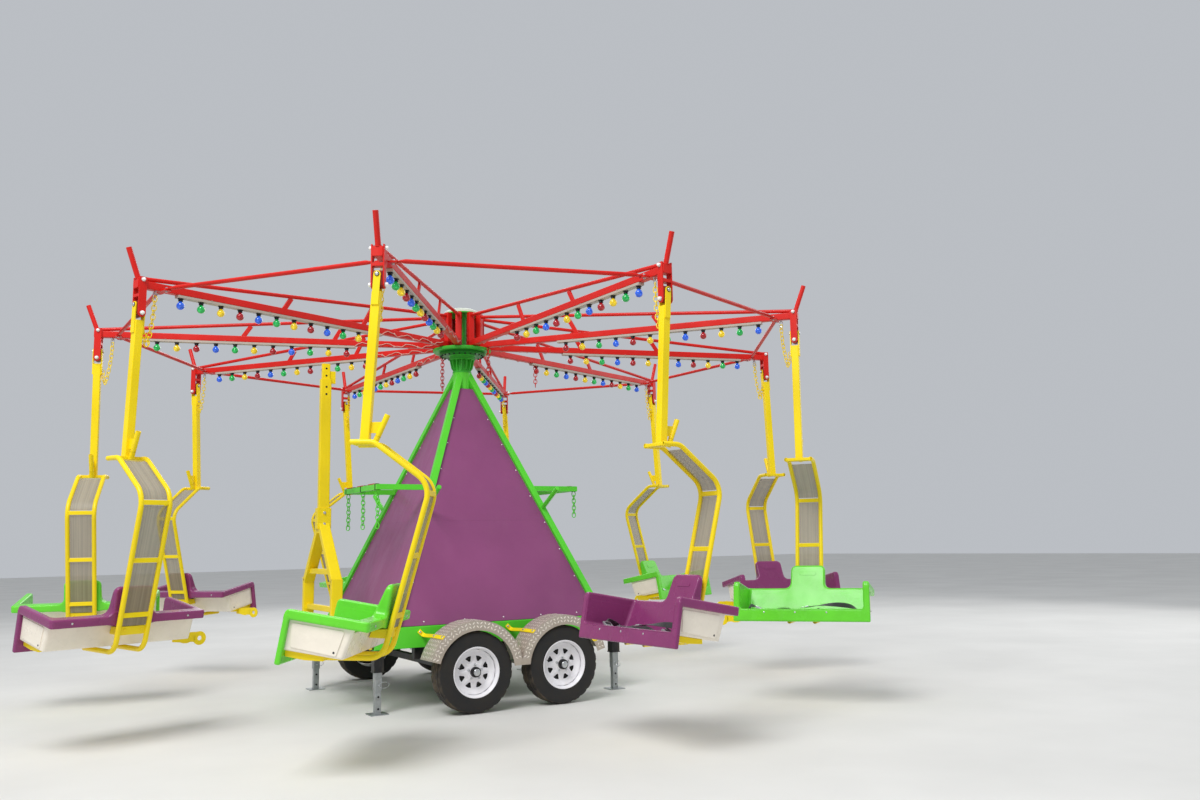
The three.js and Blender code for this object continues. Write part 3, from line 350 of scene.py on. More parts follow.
class Shape:
    """Closed bodies in millimetres, gathered into one mesh, each with its own material."""

    def __init__(self):
        self.bm = bmesh.new()
        self.names = []

    def slot(self, name):
        if name not in self.names:
            self.names.append(name)
        return self.names.index(name)

    def add(self, points, faces, name, soft=0, steps=2, limit=35, smooth=True):
        slot = self.slot(name)
        worn = self.slot(name + "_edge") if soft and name + "_edge" in MATERIALS else slot
        verts = [self.bm.verts.new(p) for p in points]
        made = [self.bm.faces.new([verts[i] for i in face]) for face in faces]
        bmesh.ops.recalc_face_normals(self.bm, faces=made)
        for face in made:
            face.material_index = slot
            face.smooth = smooth
        if soft:
            turn = radians(limit)
            edges = {e for f in made for e in f.edges if len(e.link_faces) == 2 and e.calc_face_angle(0) > turn}
            bmesh.ops.bevel(self.bm, geom=list(edges), offset=soft, offset_type="OFFSET", segments=steps,
                            profile=0.5, affect="EDGES", clamp_overlap=True, material=worn)

    def prism(self, outline, place, d0, d1, name, soft, steps=2, limit=35):
        """Flat outline drawn out from d0 to d1; place turns (a, b, depth) into a point."""
        n = len(outline)
        points = [place(a, b, d) for d in (d0, d1) for a, b in outline]
        faces = [list(range(n))[::-1], list(range(n, 2 * n))] + grid_faces(2, n, False)
        self.add(points, faces, name, soft, steps, limit)

    def box(self, x0, x1, y0, y1, z0, z1, name, soft):
        self.prism([(x0, y0), (x1, y0), (x1, y1), (x0, y1)], along_z, z0, z1, name, soft)

    def across(self, outline, y0, y1, name, soft, steps=2):
        """Outline in the radius and up plane, drawn out along Y."""
        self.prism(outline, lambda a, b, d: (a, d, b), y0, y1, name, soft, steps)

    def outward(self, outline, r0, r1, name, soft, steps=2):
        """Outline in a seat's forward and up plane, drawn out along the radius."""
        self.prism(outline, lambda a, b, d: (PIVOT_R + d, -a, b), r0, r1, name, soft, steps)

    def drawn(self, outline, start, end, side, name, soft, limit=35):
        """Outline drawn out between two points; side, where given, leads its first axis."""
        start, end = Vector(start), Vector(end)
        along = (end - start).normalized()
        side = unit(Vector(side) - along * along.dot(side)) if side else square_to(along)[0]
        up = along.cross(side)
        self.prism(outline, lambda a, b, d: start + side * a + up * b + along * d, 0, (end - start).length, name, soft,
                   2, limit)

    def bar(self, start, end, width, height, towards, name, soft, corner):
        outline = rounded_box(-width / 2, width / 2, -height / 2, height / 2, corner, 3)
        self.drawn(outline, start, end, towards, name, soft)

    def rod(self, start, end, radius, name, sides, soft=1.2):
        self.drawn(circle(radius, sides), start, end, None, name, soft, 50)

    def lathe(self, profile, name, origin=(0, 0, 0), axis=(0, 0, 1), sides=48):
        """Closed profile of (radius, height) turned about an axis; it may start and end on it."""
        origin, axis = Vector(origin), unit(axis)
        side, up = square_to(axis)
        points, rings = [], []
        for radius, height in profile:
            centre = origin + axis * height
            if radius < 1e-6:
                rings.append([len(points)] * sides)
                points.append(centre)
                continue
            rings.append(list(range(len(points), len(points) + sides)))
            points += [centre + side * a + up * b for a, b in circle(radius, sides)]
        faces = []
        loops = list(zip(rings, rings[1:]))
        if profile[0][0] > 1e-6:
            loops.append((rings[-1], rings[0]))
        for low, high in loops:
            for i in range(sides):
                j = (i + 1) % sides
                face = [low[i], low[j], high[j], high[i]]
                kept = [p for k, p in enumerate(face) if p not in face[:k]]
                if len(kept) > 2:
                    faces.append(kept)
        self.add(points, faces, name)

    def sweep(self, path, sections, name, up=None, closed=False, soft=0):
        """Draws a section, or one for each point, along a path; ends are capped."""
        path = [Vector(p) for p in path]
        n = len(path)
        many = isinstance(sections[0][0], (list, tuple))
        points = []
        side = None
        for i, here in enumerate(path):
            before = path[i - 1] if closed or i else here
            after = path[(i + 1) % n] if closed or i < n - 1 else here
            along = (after - before).normalized()
            if up is not None:
                side = unit(along.cross(Vector(up)))
            elif side is None:
                side = along.orthogonal().normalized()
            else:
                side = (side - along * side.dot(along)).normalized()
            lift = side.cross(along)
            for a, b in (sections[i] if many else sections):
                points.append(here + side * a + lift * b)
        m = len(points) // n
        faces = grid_faces(n, m, closed)
        if not closed:
            faces += [list(range(m))[::-1], list(range((n - 1) * m, n * m))]
        self.add(points, faces, name, soft)

    def tube(self, path, radius, name, sides, closed=False):
        self.sweep(path, circle(radius, sides), name, closed=closed)

    def link(self, centre, along, across, length, width, wire, name):
        along, across = unit(along), unit(across)
        straight = (length - width) / 2
        path = []
        for sign, start in ((1, -90), (-1, 90)):
            for i in range(5):
                a, b = polar(width / 2, radians(start + 45 * i))
                path.append(Vector(centre) + along * (sign * straight + a) + across * b)
        self.tube(path, wire / 2, name, 6, True)

    def chain(self, path, name, length, width, wire):
        """Links laid along a path, each turned a quarter from the one before."""
        path = [Vector(p) for p in path]
        step = length - wire * 1.9
        walked, k, side = 0.0, 0, None
        total = sum((b - a).length for a, b in zip(path, path[1:]))
        count = max(1, round(total / step))
        for a, b in zip(path, path[1:]):
            along = (b - a).normalized()
            side = along.orthogonal().normalized() if side is None else (side - along * side.dot(along)).normalized()
            while k < count and (k + 0.5) * total / count <= walked + (b - a).length + 1e-6:
                spot = a + along * ((k + 0.5) * total / count - walked)
                self.link(spot, along, side if k % 2 else along.cross(side), length, width, wire, name)
                k += 1
            walked += (b - a).length

    def dome(self, base, axis, radius, height, name, sides, foot=0.4):
        profile = [(0, 0), (radius, 0), (radius, foot)]
        profile += [(a * radius, foot + (height - foot) * b) for a, b in (polar(1, t) for t in (0.4, 0.8, 1.2))]
        self.lathe(profile + [(0, height)], name, base, axis, sides)

    def disc(self, base, axis, radius, height, name, sides=16):
        self.lathe([(0, 0), (radius, 0), (radius, height), (0, height)], name, base, axis, sides)

    def post(self, x, y, half, low, high, corner, name, soft):
        """Upright square tube or plate about (x, y)."""
        self.prism(rounded_box(x - half, x + half, y - half, y + half, corner, 3), along_z, low, high, name, soft)

    def bolt(self, base, axis, size, name="silver", height=None, washer=True):
        """Hexagon head on a washer, with a rounded crown and the thread end."""
        height = height or size * 0.7
        base, axis = Vector(base), unit(axis)
        if washer:
            self.lathe([(0, 0), (size * 1.15, 0), (size * 1.15, size * 0.16), (size * 1.08, size * 0.22),
                        (0, size * 0.22)], name, base, axis, 20)
            base = base + axis * size * 0.2
        side, up = square_to(axis)
        self.prism(circle(size, 6), lambda a, b, d: base + side * a + up * b + axis * d, 0, height, name, size * 0.1)
        self.dome(base + axis * height * 0.9, axis, size * 0.55, height * 0.35, name, 12)

    def weld(self, path, name, radius):
        """Rippled bead along a path."""
        made, path = [], [Vector(p) for p in path]
        for a, b in zip(path, path[1:]):
            steps = max(2, int((b - a).length / 7))
            made += [a.lerp(b, i / steps) for i in range(steps)]
        made.append(path[-1])
        self.sweep(made, [circle(radius * (1 + 0.16 * (i % 2)), 6) for i in range(len(made))], name)

    def weld_round(self, x0, x1, y0, y1, z, name, radius=3.2):
        self.weld([(x0, y0, z), (x1, y0, z), (x1, y1, z), (x0, y1, z), (x0, y0, z)], name, radius)

    def mesh(self, name, sharp=38):
        data = bpy.data.meshes.new(name)
        bmesh.ops.scale(self.bm, vec=(MM, MM, MM), verts=self.bm.verts)
        self.bm.to_mesh(data)
        self.bm.free()
        for key in self.names:
            data.materials.append(MATERIALS[key])
        data.set_sharp_from_angle(angle=radians(sharp))
        data["parts"] = ",".join(self.names)
        return data


def show(name, data, body, stands_for=(), turn=0, swap=None, weighted=True):
    """Puts a mesh in the scene on its body; swap changes materials on this object alone."""
    piece = put(name, data)
    piece.matrix_world = Matrix.Rotation(turn, 4, "Z")
    for old, new in (swap or {}).items():
        for i, key in enumerate(data["parts"].split(",")):
            if key == old:
                piece.material_slots[i].link = "OBJECT"
                piece.material_slots[i].material = MATERIALS[new]
    if weighted:
        piece.modifiers.new("normals", "WEIGHTED_NORMAL").keep_sharp = True
    if body:
        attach(piece, body)
    if stands_for:
        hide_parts(*stands_for)
    return piece


def seat_point(out, forward, up):
    """A point of a seat before its arm's turn: radius past the pivot ring, forward, height."""
    return Vector((PIVOT_R + out, -forward, up))


def arm_turn(k):
    return FIRST_ARM + k * PITCH


# Arm truss with its lamps

def rim_rod(s):
    """Round rod with flattened ends, from this arm's lug to the next arm's."""
    start = Vector((LUG_R, 60, 0))
    end = Matrix.Rotation(PITCH, 3, "Z") @ Vector((LUG_R, -60, 0))
    along, length = (end - start).normalized(), (end - start).length
    flat = [(19.5 * copysign(abs(c) ** 0.45, c), 5 * copysign(abs(d) ** 0.5, d)) for c, d in circle(1, 20)]
    half = [(-26, 0, 0.86), (-22, 0, 1), (34, 0, 1), (52, 0.35, 1), (74, 0.8, 1), (92, 1, 1)]
    stops = half + [(length / 2, 1, 1), (length - 92, 1, 1), (length - 74, 0.8, 1), (length - 52, 0.35, 1),
                    (length - 34, 0, 1), (length + 22, 0, 1), (length + 26, 0, 0.86)]
    path, sections = [], []
    for distance, fullness, size in stops:
        spot = start + along * distance
        path.append((spot.x, spot.y, 3450.2 + 5 * fullness))
        sections.append([((a * (1 - fullness) + c * fullness) * size, (b * (1 - fullness) + d * fullness) * size)
                         for (a, b), (c, d) in zip(flat, circle(17, 20))])
    s.sweep(path, sections, "red", up=(0, 0, 1))
    for spot in (start, end):
        s.bolt((spot.x, spot.y, 3455.4), (0, 0, 1), 11)
        s.bolt((spot.x, spot.y, 3434.8), (0, 0, -1), 10)


def eye_plate(half, top, radius, steps, cut=2):
    """Outline with chamfered top corners that ends in a round eye about the pivot pin."""
    return ([(PIVOT_R - half, top)] + arc((PIVOT_R, PIVOT_Z), radius, 180, 360, steps)
            + [(PIVOT_R + half, top), (PIVOT_R + half - cut, top + 2), (PIVOT_R - half + cut, top + 2)])


def arm_mesh(with_mast):
    s = Shape()
    s.prism(rounded_box(-30, 30, BEAM_LOW, BEAM_TOP, 6, 3), along_x, 170, 3449, "red", 1.5)
    s.post(200, 0, 30, 3430.3, 3795.6, 6, "red", 1.5)
    s.rod((206, 0, 3765.5), (3440, 0, 3511), 17, "red", 20)
    for r0, z0, r1 in ((1187, 3672, 1291), (2087, 3601, 2160)):
        s.bar((r0, 0, z0), (r1, 0, BEAM_TOP - 5), 20, 42, (0, 1, 0), "red", 1.5, 4)
        s.weld_round(r1 - 26, r1 + 24, -10, 10, BEAM_TOP + 1, "red")
    s.weld([(232, -28, 3494), (232, 28, 3494)], "red", 4)
    s.weld([(228, -18, 3764), (228, 18, 3764)], "red", 4)
    for y in (-48, 38):
        s.across(eye_plate(30.5, 3517, 30.5, 16), y, y + 10, "red", 1.6)
    s.prism(rounded_box(-38.5, 38.5, 3431, 3503, 13, 5), along_x, 3411.5, 3486.5, "red", 2.5, 3)
    s.box(3419.5, 3480.5, -38.5, 38.5, 3361, 3371, "red", 1.6)
    for r in (3419.5, 3474.5):
        s.box(r, r + 6, -38.5, 38.5, 3368, 3385, "red", 1.4)
    for z in (3433, 3501):
        for y in (-36.5, 36.5):
            s.weld([(3414, y, z), (3484, y, z)], "red", 2.6)
    for side in (-1, 1):
        y0, y1 = sorted((28 * side, 92 * side))
        s.prism(rounded_box(LUG_R - 32, LUG_R + 32, y0, y1, 9, 3), along_z, BEAM_LOW, BEAM_LOW + 10, "red", 1.2)
        s.weld([(LUG_R - 30, side * 31, 3447), (LUG_R + 30, side * 31, 3447)], "red", 3)
        s.disc((PIVOT_R, side * 48, 3497), (0, side, 0), 17, 2.5, "silver", 18)
        s.dome((PIVOT_R, side * 50, 3497), (0, side, 0), 13.5, 21, "white_cap", 18, 12)
    rim_rod(s)
    if with_mast:
        foot, tip = Vector((3459, 0, 3486)), Vector((3553, 0, 3740))
        s.rod(foot, tip, 21, "red", 24, 2)
        along, level = (tip - foot).normalized(), Vector((0, 1, 0))
        ring = [foot + along * 26 + along.cross(level) * a + level * b for a, b in circle(24, 14)]
        s.tube(ring, 3.4, "red", 6, True)
    # Silver bow and hook under the beam, where the safety chain starts
    bow = [(CHAIN_R, -12, 3436), (CHAIN_R, -12, 3408), (CHAIN_R, 12, 3408), (CHAIN_R, 12, 3436)]
    s.tube(round_corners(bow, 11, 5, False), 4.2, "silver", 8)
    s.link((CHAIN_R, 0, 3398), (0, 0, 1), (1, 0, 0), 54, 30, 7.5, "silver")
    return s.mesh("arm" if with_mast else "arm_bare")


def wire_spot(i):
    """Radius and height of the feed wire at its i-th bend."""
    return 1060 - 40 * i, 3452 + 16 * sin(i * 1.1) + 7 * sin(i * 2.7)


def lamps_mesh():
    s = Shape()
    # Strip under the beam, in its greyer tone of painted shade.
    s.prism([(-28, 3434.6), (-28, 3415), (-25, 3412), (25, 3412), (28, 3415), (28, 3434.6)], along_x, 1080, 3150,
            "strip", 1)
    socket = [(0, 0), (23, 0), (23, -5), (18, -9), (18, -15), (19, -17), (19, -21), (15, -24), (0, -24)]
    globe = [(0, -32)] + [polar(32, a) for a in (-1.2, -0.85, -0.5, -0.15, 0.2, 0.55, 0.9)]
    globe += [(15.5, 28), (12, 34), (12, 38), (0, 38)]
    for n in range(LAMPS):
        r = LAMP_R - LAMP_GAP * n
        s.lathe(socket, "socket", (r, 0, 3412.2), sides=14)
        s.lathe(globe, BULBS[n % len(BULBS)], (r, 0, 3353), sides=18)
    # Clips on the strip, in the same greyer tone of painted shade.
    for r in (1250, 1780, 2320, 2860):
        s.box(r - 7, r + 7, -31.5, 31.5, 3433, 3437, "strip", 1)
    # Feed wire of the lamps, held by three clips on the beam's side on its way to the hub
    bends = [(r, 34, z) for r, z in map(wire_spot, range(20))]
    s.tube([(1105, 26, 3420), (1090, 31, 3428)] + bends, 3.6, "wire", 8)
    for r, z in map(wire_spot, (3, 9, 15)):
        s.box(r - 5, r + 5, 29.5, 38.5, z - 9, z + 9, "wire", 1.5)
    return s.mesh("lamps")


# Knuckle, hanger and seat frame

def knuckle_mesh():
    s = Shape()
    s.across(eye_plate(30.6, 3326, 30.8, 14, 2.6), -37.2, 37.2, "dark_red", 3, 3)
    s.rod((PIVOT_R, -54, PIVOT_Z), (PIVOT_R, 54, PIVOT_Z), 10, "silver", 16)
    for side in (-1, 1):
        s.disc((PIVOT_R, side * 48.4, PIVOT_Z), (0, side, 0), 18, 2.6, "silver", 18)
        s.dome((PIVOT_R, side * 50.5, PIVOT_Z), (0, side, 0), 14.5, 22, "white_cap", 18, 12)
        s.disc((PIVOT_R + side * 41.8, 0, BOLT_Z), (side, 0, 0), 17.5, 2.2, "dark_steel", 18)
        s.dome((PIVOT_R + side * 43.8, 0, BOLT_Z), (side, 0, 0), 13.5, 10, "silver", 18, 4)
    s.rod((PIVOT_R - 44, 0, BOLT_Z), (PIVOT_R + 44, 0, BOLT_Z), 10, "silver", 16)
    return s.mesh("knuckle")


def on_hanger(height, across):
    """A point beside the hanger tube's leaning middle line, in the same plane."""
    down = (BOLT_Z - height) / cos(LEAN)
    return (down * sin(LEAN) + across * cos(LEAN), height + across * sin(LEAN))


TUBE_CORNERS = [(150, 2120), (-9, 2118), (-396, 1820), (-84, 698), (370, 712)]
TUBE_ROUNDS = [0, 115, 160, 108, 0]
CROSSBARS = ((-376, 1768), (-268, 1354), (-158, 962))


def tube_line():
    return round_corners(TUBE_CORNERS, TUBE_ROUNDS, 9, False)


def shell_point(along, above):
    """A point of the tilted shell in its hanger's forward and up plane."""
    return (REAR_RIM[0] + along * cos(TILT) - above * sin(TILT),
            REAR_RIM[1] + along * sin(TILT) + above * cos(TILT))


def hanger_mesh():
    s = Shape()
    top, low = on_hanger(3180, 0), (on_hanger(2146, 0)[0], 2130)
    s.prism(rounded_box(-32, 32, -32, 32, 6, 3),
            lambda a, b, d: (PIVOT_R + a, -(top[0] + (low[0] - top[0]) * d + b), top[1] + (low[1] - top[1]) * d),
            0, 1, "yellow", 1.6)
    left, right = on_hanger(3083, -25), on_hanger(3083, 25)
    for side in (-1, 1):
        r0 = 31.5 if side > 0 else -41.5
        s.outward([left] + arc((0, BOLT_Z), 25, 183.9, 3.9, 12) + [right], r0, r0 + 10, "yellow", 1.4)
        s.weld([seat_point(side * 34, t, z - 2) for t, z in (left, right)], "yellow", 3)
        path = [seat_point(side * SPREAD, t, z) for t, z in tube_line()]
        s.tube(path, 19, "yellow", 16)
        for end, after in ((path[0], path[1]), (path[-1], path[-2])):
            s.lathe([(0, 0), (17, 0), (19.3, -1.5), (19.3, -4), (0, -4)], "yellow", end, end - after, 16)
    s.outward([(34, 2107), (150, 2107), (152, 2110), (152, 2130), (150, 2133), (34, 2133)], -SPREAD, SPREAD,
              "yellow", 2)
    for t in (44, 114):
        s.weld([seat_point(-34, t, 2134), seat_point(34, t, 2134)], "yellow", 3)
    for t, z in CROSSBARS:
        s.bar(seat_point(-SPREAD + 6, t, z), seat_point(SPREAD - 6, t, z), 22, 36, (0, 1, 0), "yellow", 1.5, 4)
    s.outward([(-133, 882), shell_point(98.4, -95), shell_point(108.6, -150), (-118, 820)],
              -SPREAD + 4, SPREAD - 4, "yellow", 2.5)
    for side in (-1, 1):
        s.bolt(seat_point(side * 62, -128, 858), (0, 1, -0.25), 8, "yellow")
    # Hollow socket stub with its gusset
    foot, tip = seat_point(0, 14, 2112), seat_point(0, -76, 2314)
    along, length = (tip - foot).normalized(), (tip - foot).length
    s.lathe([(15.5, 60), (20, 56), (20, length - 1), (19, length), (16.5, length), (15.5, length - 1)], "yellow",
            foot, along, 20)
    s.disc(foot, along, 20, 60, "yellow", 20)
    s.outward([(-24, 2186), (62, 2190), (66, 2265), (-56, 2265)], -5, 5, "yellow", 1.2)
    under_bar(s)
    return s.mesh("hanger")


def under_bar(s):
    """Folded channel across under the shell, with the curved arm and ring plate at its inner end."""
    under = shell_point(300, -250.5)
    front, rear = shell_point(508, -250.5), shell_point(265, -250.5)
    base = under[1] - 62
    s.outward([(rear[0], 728), (300, 738), (front[0], front[1] - 40), front, rear], -520, 520, "yellow", 4, 3)
    t0, t1 = under[0] - 6, under[0] + 6
    s.lathe([(19, 1.5), (20.5, 0), (52.5, 0), (54, 1.5), (54, 10.5), (52.5, 12), (20.5, 12), (19, 10.5)], "yellow",
            seat_point(-730, t0, base + 15), (0, -1, 0), 32)
    arm = [(-500, 2), (-560, -4), (-590, -14), (-622, -16), (-650, -8), (-684, -12), (-692, 50), (-712, 66),
           (-660, 68), (-590, 60), (-500, 58)]
    s.prism(arm, lambda a, b, d: seat_point(a, d, base + b), t0, t1, "yellow", 1.3)
    for out in (-380, 380):
        s.bolt(seat_point(out, under[0], 731), (0, 0, -1), 9)


def panels_mesh():
    """Ribbed sheets between the tubes: a wavy section drawn along each bay."""
    s = Shape()
    half, pitch = SPREAD - 17, 9.0
    count = int(2 * half / pitch)
    edge = [(-half + i * pitch / 2, 3.4 if i % 2 else 1.6) for i in range(2 * count + 1)]
    section = edge + [(a, -b) for a, b in edge[::-1]]
    line = tube_line()
    for high, low in ((2100, 1792), (1748, 1374), (1334, 982), (942, 886)):
        start = along_tube(line, high) if high < 2090 else (-50, 2088)
        run = [tuple(p) for p in line if low < p[1] < start[1] - 3 and p[0] < -20]
        path = [start] + run + [along_tube(line, low)]
        s.sweep([seat_point(0, t, z) for t, z in path], section, "panel", up=(0, 1, 0.001))
    return s.mesh("panels", 60)


def along_tube(line, height):
    """Where the tube's line passes a height on its rear run."""
    for a, b in zip(line, line[1:]):
        if (a[1] - height) * (b[1] - height) <= 0 and a[1] != b[1] and a[0] < 0:
            t = (a[1] - height) / (a[1] - b[1])
            return (a[0] + (b[0] - a[0]) * t, height)
    return (line[0][0], height)


# Moulded bench shell, as a distance field in (out, along, above)

def polygon_distance(u, v, corners):
    """Signed distance to a convex outline, negative inside."""
    best, inside = None, None
    for (ax, ay), (bx, by) in zip(corners, corners[1:] + corners[:1]):
        ex, ey = bx - ax, by - ay
        t = np.clip(((u - ax) * ex + (v - ay) * ey) / (ex * ex + ey * ey), 0, 1)
        d = np.hypot(u - ax - ex * t, v - ay - ey * t)
        side = ex * (v - ay) - ey * (u - ax)
        best = d if best is None else np.minimum(best, d)
        inside = side if inside is None else np.minimum(inside, side)
    return np.where(inside > 0, -best, best)


def drawn_out(flat, depth, radius):
    """Distance to a flat shape drawn out to a depth, with its end edges rounded."""
    a, b = flat + radius, depth + radius
    return np.minimum(np.maximum(a, b), 0) + np.hypot(np.maximum(a, 0), np.maximum(b, 0)) - radius


def smooth_min(a, b, k):
    h = np.maximum(k - np.abs(a - b), 0) / k
    return np.minimum(a, b) - h * h * k / 4


def smooth_max(a, b, k):
    return -smooth_min(-a, -b, k)


RIM_LINE = flat_points([(0, 0), (0, -62), (540, -62), (540, 0)], [16, 12, 3, 46], 6)
PIT_LINE = flat_points([(29.67, 260), (160, -232), (620, -232), (620, 260)], [0, 34, 0, 0], 6)
BODY_LINE = flat_points([(95, -50), (131, -250), (520, -250), (520, -50)], [0, 16, 6, 0], 4)


def pit_field(x, u, v):
    return drawn_out(polygon_distance(u, v, PIT_LINE), np.abs(x) - PIT_W, 24)


def plan_field(x, u, half, rear, front):
    """Distance to the shell's outline in plan, with other corner radii behind than in front."""
    behind = u < BEHIND
    return drawn_out(np.abs(x) - half, np.where(behind, -u, u - RIM_L), np.where(behind, rear, front))


def box_field(x, u, v, sizes, radius):
    hx, u0, u1, v0, v1 = sizes
    a = np.abs(x) - hx + radius
    b = np.abs(u - (u0 + u1) / 2) - (u1 - u0) / 2 + radius
    c = np.abs(v - (v0 + v1) / 2) - (v1 - v0) / 2 + radius
    outside = np.sqrt(np.maximum(a, 0) ** 2 + np.maximum(b, 0) ** 2 + np.maximum(c, 0) ** 2)
    return np.minimum(np.maximum(a, np.maximum(b, c)), 0) + outside - radius


def top_field(x, u, v):
    """Rim, front frame, pan liner and the raised back in one moulding."""
    rim = drawn_out(polygon_distance(u, v, RIM_LINE), np.abs(x) - SHELL_W, 15)
    rim = smooth_max(rim, plan_field(x, u, SHELL_W, 34.0, 14.0), 6)
    front = box_field(x, u, v, (SHELL_W, 503, 540, -340, -30), 11)
    pit = pit_field(x, u, v)
    liner = np.maximum(pit - 13, np.maximum(v + 40, u - 520))
    solid = smooth_min(smooth_min(rim, front, 8), liner, 3)
    raised = drawn_out(box_field(x, v * 0, v, (152, -1e4, 1e4, -52, 212), 46), np.maximum(5 - u, u - 110), 16)
    return np.maximum(smooth_max(smooth_min(solid, raised, 62), -pit, 18), -u)


def body_field(x, u, v):
    """Pale lower body round the pan liner."""
    block = drawn_out(polygon_distance(u, v, BODY_LINE), np.abs(x) - BODY_W, 14)
    block = smooth_max(block, plan_field(x, u - 96 - (-50 - v) * 0.18, BODY_W, 26.0, 0.5), 4)
    return np.maximum(block, -(pit_field(x, u, v) - 11))


def distance_and_slope(field, p):
    (x, u, v), h = p.T, 0.5
    d = field(x, u, v)
    g = np.stack([field(x + h, u, v) - field(x - h, u, v), field(x, u + h, v) - field(x, u - h, v),
                  field(x, u, v + h) - field(x, u, v - h)], 1)
    return d, g / np.maximum(np.linalg.norm(g, axis=1), 1e-9)[:, None]


def to_frame(p, shift):
    """Shell coordinates to the row frame; shift 0 turns directions only."""
    c, s = cos(TILT), sin(TILT)
    forward = p[:, 1] * c - p[:, 2] * s + shift * REAR_RIM[0]
    up = p[:, 1] * s + p[:, 2] * c + shift * REAR_RIM[1]
    return np.stack([p[:, 0] + shift * PIVOT_R, -forward, up], 1)


def face_outward(data):
    bm = bmesh.new()
    bm.from_mesh(data)
    bmesh.ops.recalc_face_normals(bm, faces=bm.faces)
    bm.to_mesh(data)
    bm.free()


def field_mesh(field, low, high, step, keep, name):
    """Closed surface where the field is zero, thinned where it is flat, with the field's own normals."""
    axes = [np.arange(a, b + step, step) for a, b in zip(low, high)]
    grid = field(axes[0][:, None, None], axes[1][None, :, None], axes[2][None, None, :])
    n = grid.shape
    total, count = np.zeros((n[0] - 1, n[1] - 1, n[2] - 1, 3)), np.zeros((n[0] - 1, n[1] - 1, n[2] - 1))
    crossings = []
    for axis in range(3):
        lo, hi = [slice(None)] * 3, [slice(None)] * 3
        lo[axis], hi[axis] = slice(0, -1), slice(1, None)
        a, b = grid[tuple(lo)], grid[tuple(hi)]
        cross = (a < 0) != (b < 0)
        crossings.append(cross)
        t = np.where(cross, a / np.where(cross, a - b, 1), 0)
        o0, o1 = [o for o in range(3) if o != axis]
        for d0 in (0, 1):
            for d1 in (0, 1):
                pick = [slice(0, n[m] - 1) for m in range(3)]
                pick[o0], pick[o1] = slice(d0, n[o0] - 1 + d0), slice(d1, n[o1] - 1 + d1)
                c = cross[tuple(pick)]
                count += c
                total[..., axis] += np.where(c, t[tuple(pick)], 0)
                total[..., o0] += c * d0
                total[..., o1] += c * d1
    cells = count > 0
    index = np.full(cells.shape, -1)
    index[cells] = np.arange(cells.sum())
    spots = np.array(low) + step * (np.argwhere(cells) + total[cells] / count[cells][:, None])
    faces = []
    for axis, cross in enumerate(crossings):
        o0, o1 = [o for o in range(3) if o != axis]
        pick = [slice(None)] * 3
        pick[o0], pick[o1] = slice(1, -1), slice(1, -1)
        found = np.argwhere(cross[tuple(pick)])
        found[:, [o0, o1]] += 1
        corners = []
        for d0, d1 in ((-1, -1), (0, -1), (0, 0), (-1, 0)):
            at = found.copy()
            at[:, o0] += d0
            at[:, o1] += d1
            corners.append(index[at[:, 0], at[:, 1], at[:, 2]])
        faces.append(np.stack(corners, 1))
    for _ in range(3):
        d, g = distance_and_slope(field, spots)
        spots = spots - np.clip(d, -step / 2, step / 2)[:, None] * g
    rough = bpy.data.meshes.new(name + "_rough")
    rough.from_pydata([tuple(p) for p in spots], [], np.concatenate(faces).tolist())
    face_outward(rough)
    holder = put(name + "_rough", rough)
    thin = holder.modifiers.new("thin", "DECIMATE")
    thin.ratio = keep
    thin.use_collapse_triangulate = True
    bpy.context.view_layer.update()
    made = bpy.data.meshes.new_from_object(holder.evaluated_get(bpy.context.evaluated_depsgraph_get()))
    bpy.data.objects.remove(holder)
    co = np.zeros(len(made.vertices) * 3, np.float32)
    made.vertices.foreach_get("co", co)
    co = co.reshape(-1, 3).astype(float)
    slope = distance_and_slope(field, co)[1]
    made.vertices.foreach_set("co", (to_frame(co, 1) * MM).astype(np.float32).ravel())
    made.polygons.foreach_set("use_smooth", [True] * len(made.polygons))
    face_outward(made)
    made.normals_split_custom_set_from_vertices([tuple(v) for v in to_frame(slope, 0)])
    return made


def on_shell(x, along, above):
    return seat_point(x, *shell_point(along, above))


SHELL_FORWARD = Vector((0, -cos(TILT), sin(TILT)))
SHELL_UP = Vector((0, sin(TILT), cos(TILT)))


def seat_trim_mesh():
    """Fine parts in the shell's own colour: the bead round the opening and the raised mark."""
    s = Shape()
    rim = [(-531, -64), (-531, -239), (531, -239), (531, -64)]
    s.tube(round_corners([on_shell(x, 537.5, v) for x, v in rim], 24, 5, False), 4.2, "shell_green", 8)
    s.prism(rounded_box(-74, 74, 118, 152, 16.5, 5), lambda a, b, d: on_shell(a, 98.5 - 0.265 * b + d, b), -2, 3.2,
            "shell_green", 1.6)
    return s.mesh("seat_trim")


def seat_fittings_mesh():
    s = Shape()
    panel = flat_points([(152, -78), (488, -78), (470, -226), (178, -236)], 14)
    for side in (-1, 1):
        s.prism(panel, lambda a, b, d: on_shell(side * (BODY_W - 3 + d), a, b), 0, 8, "cream", 3, 3)
        s.dome(on_shell(side * (BODY_W + 4.5), 196, -214), (side, 0, 0), 7, 4, "dark_steel", 12, 1)
        s.dome(on_shell(side * 430, 0.4, -30), -SHELL_FORWARD, 7.5, 4, "silver", 14, 1)
    for x in (-310, -45, 220):
        s.dome(on_shell(x, 539.5, -264), SHELL_FORWARD, 7.5, 4.5, "silver", 14, 1.2)
    return s.mesh("seat_fittings")


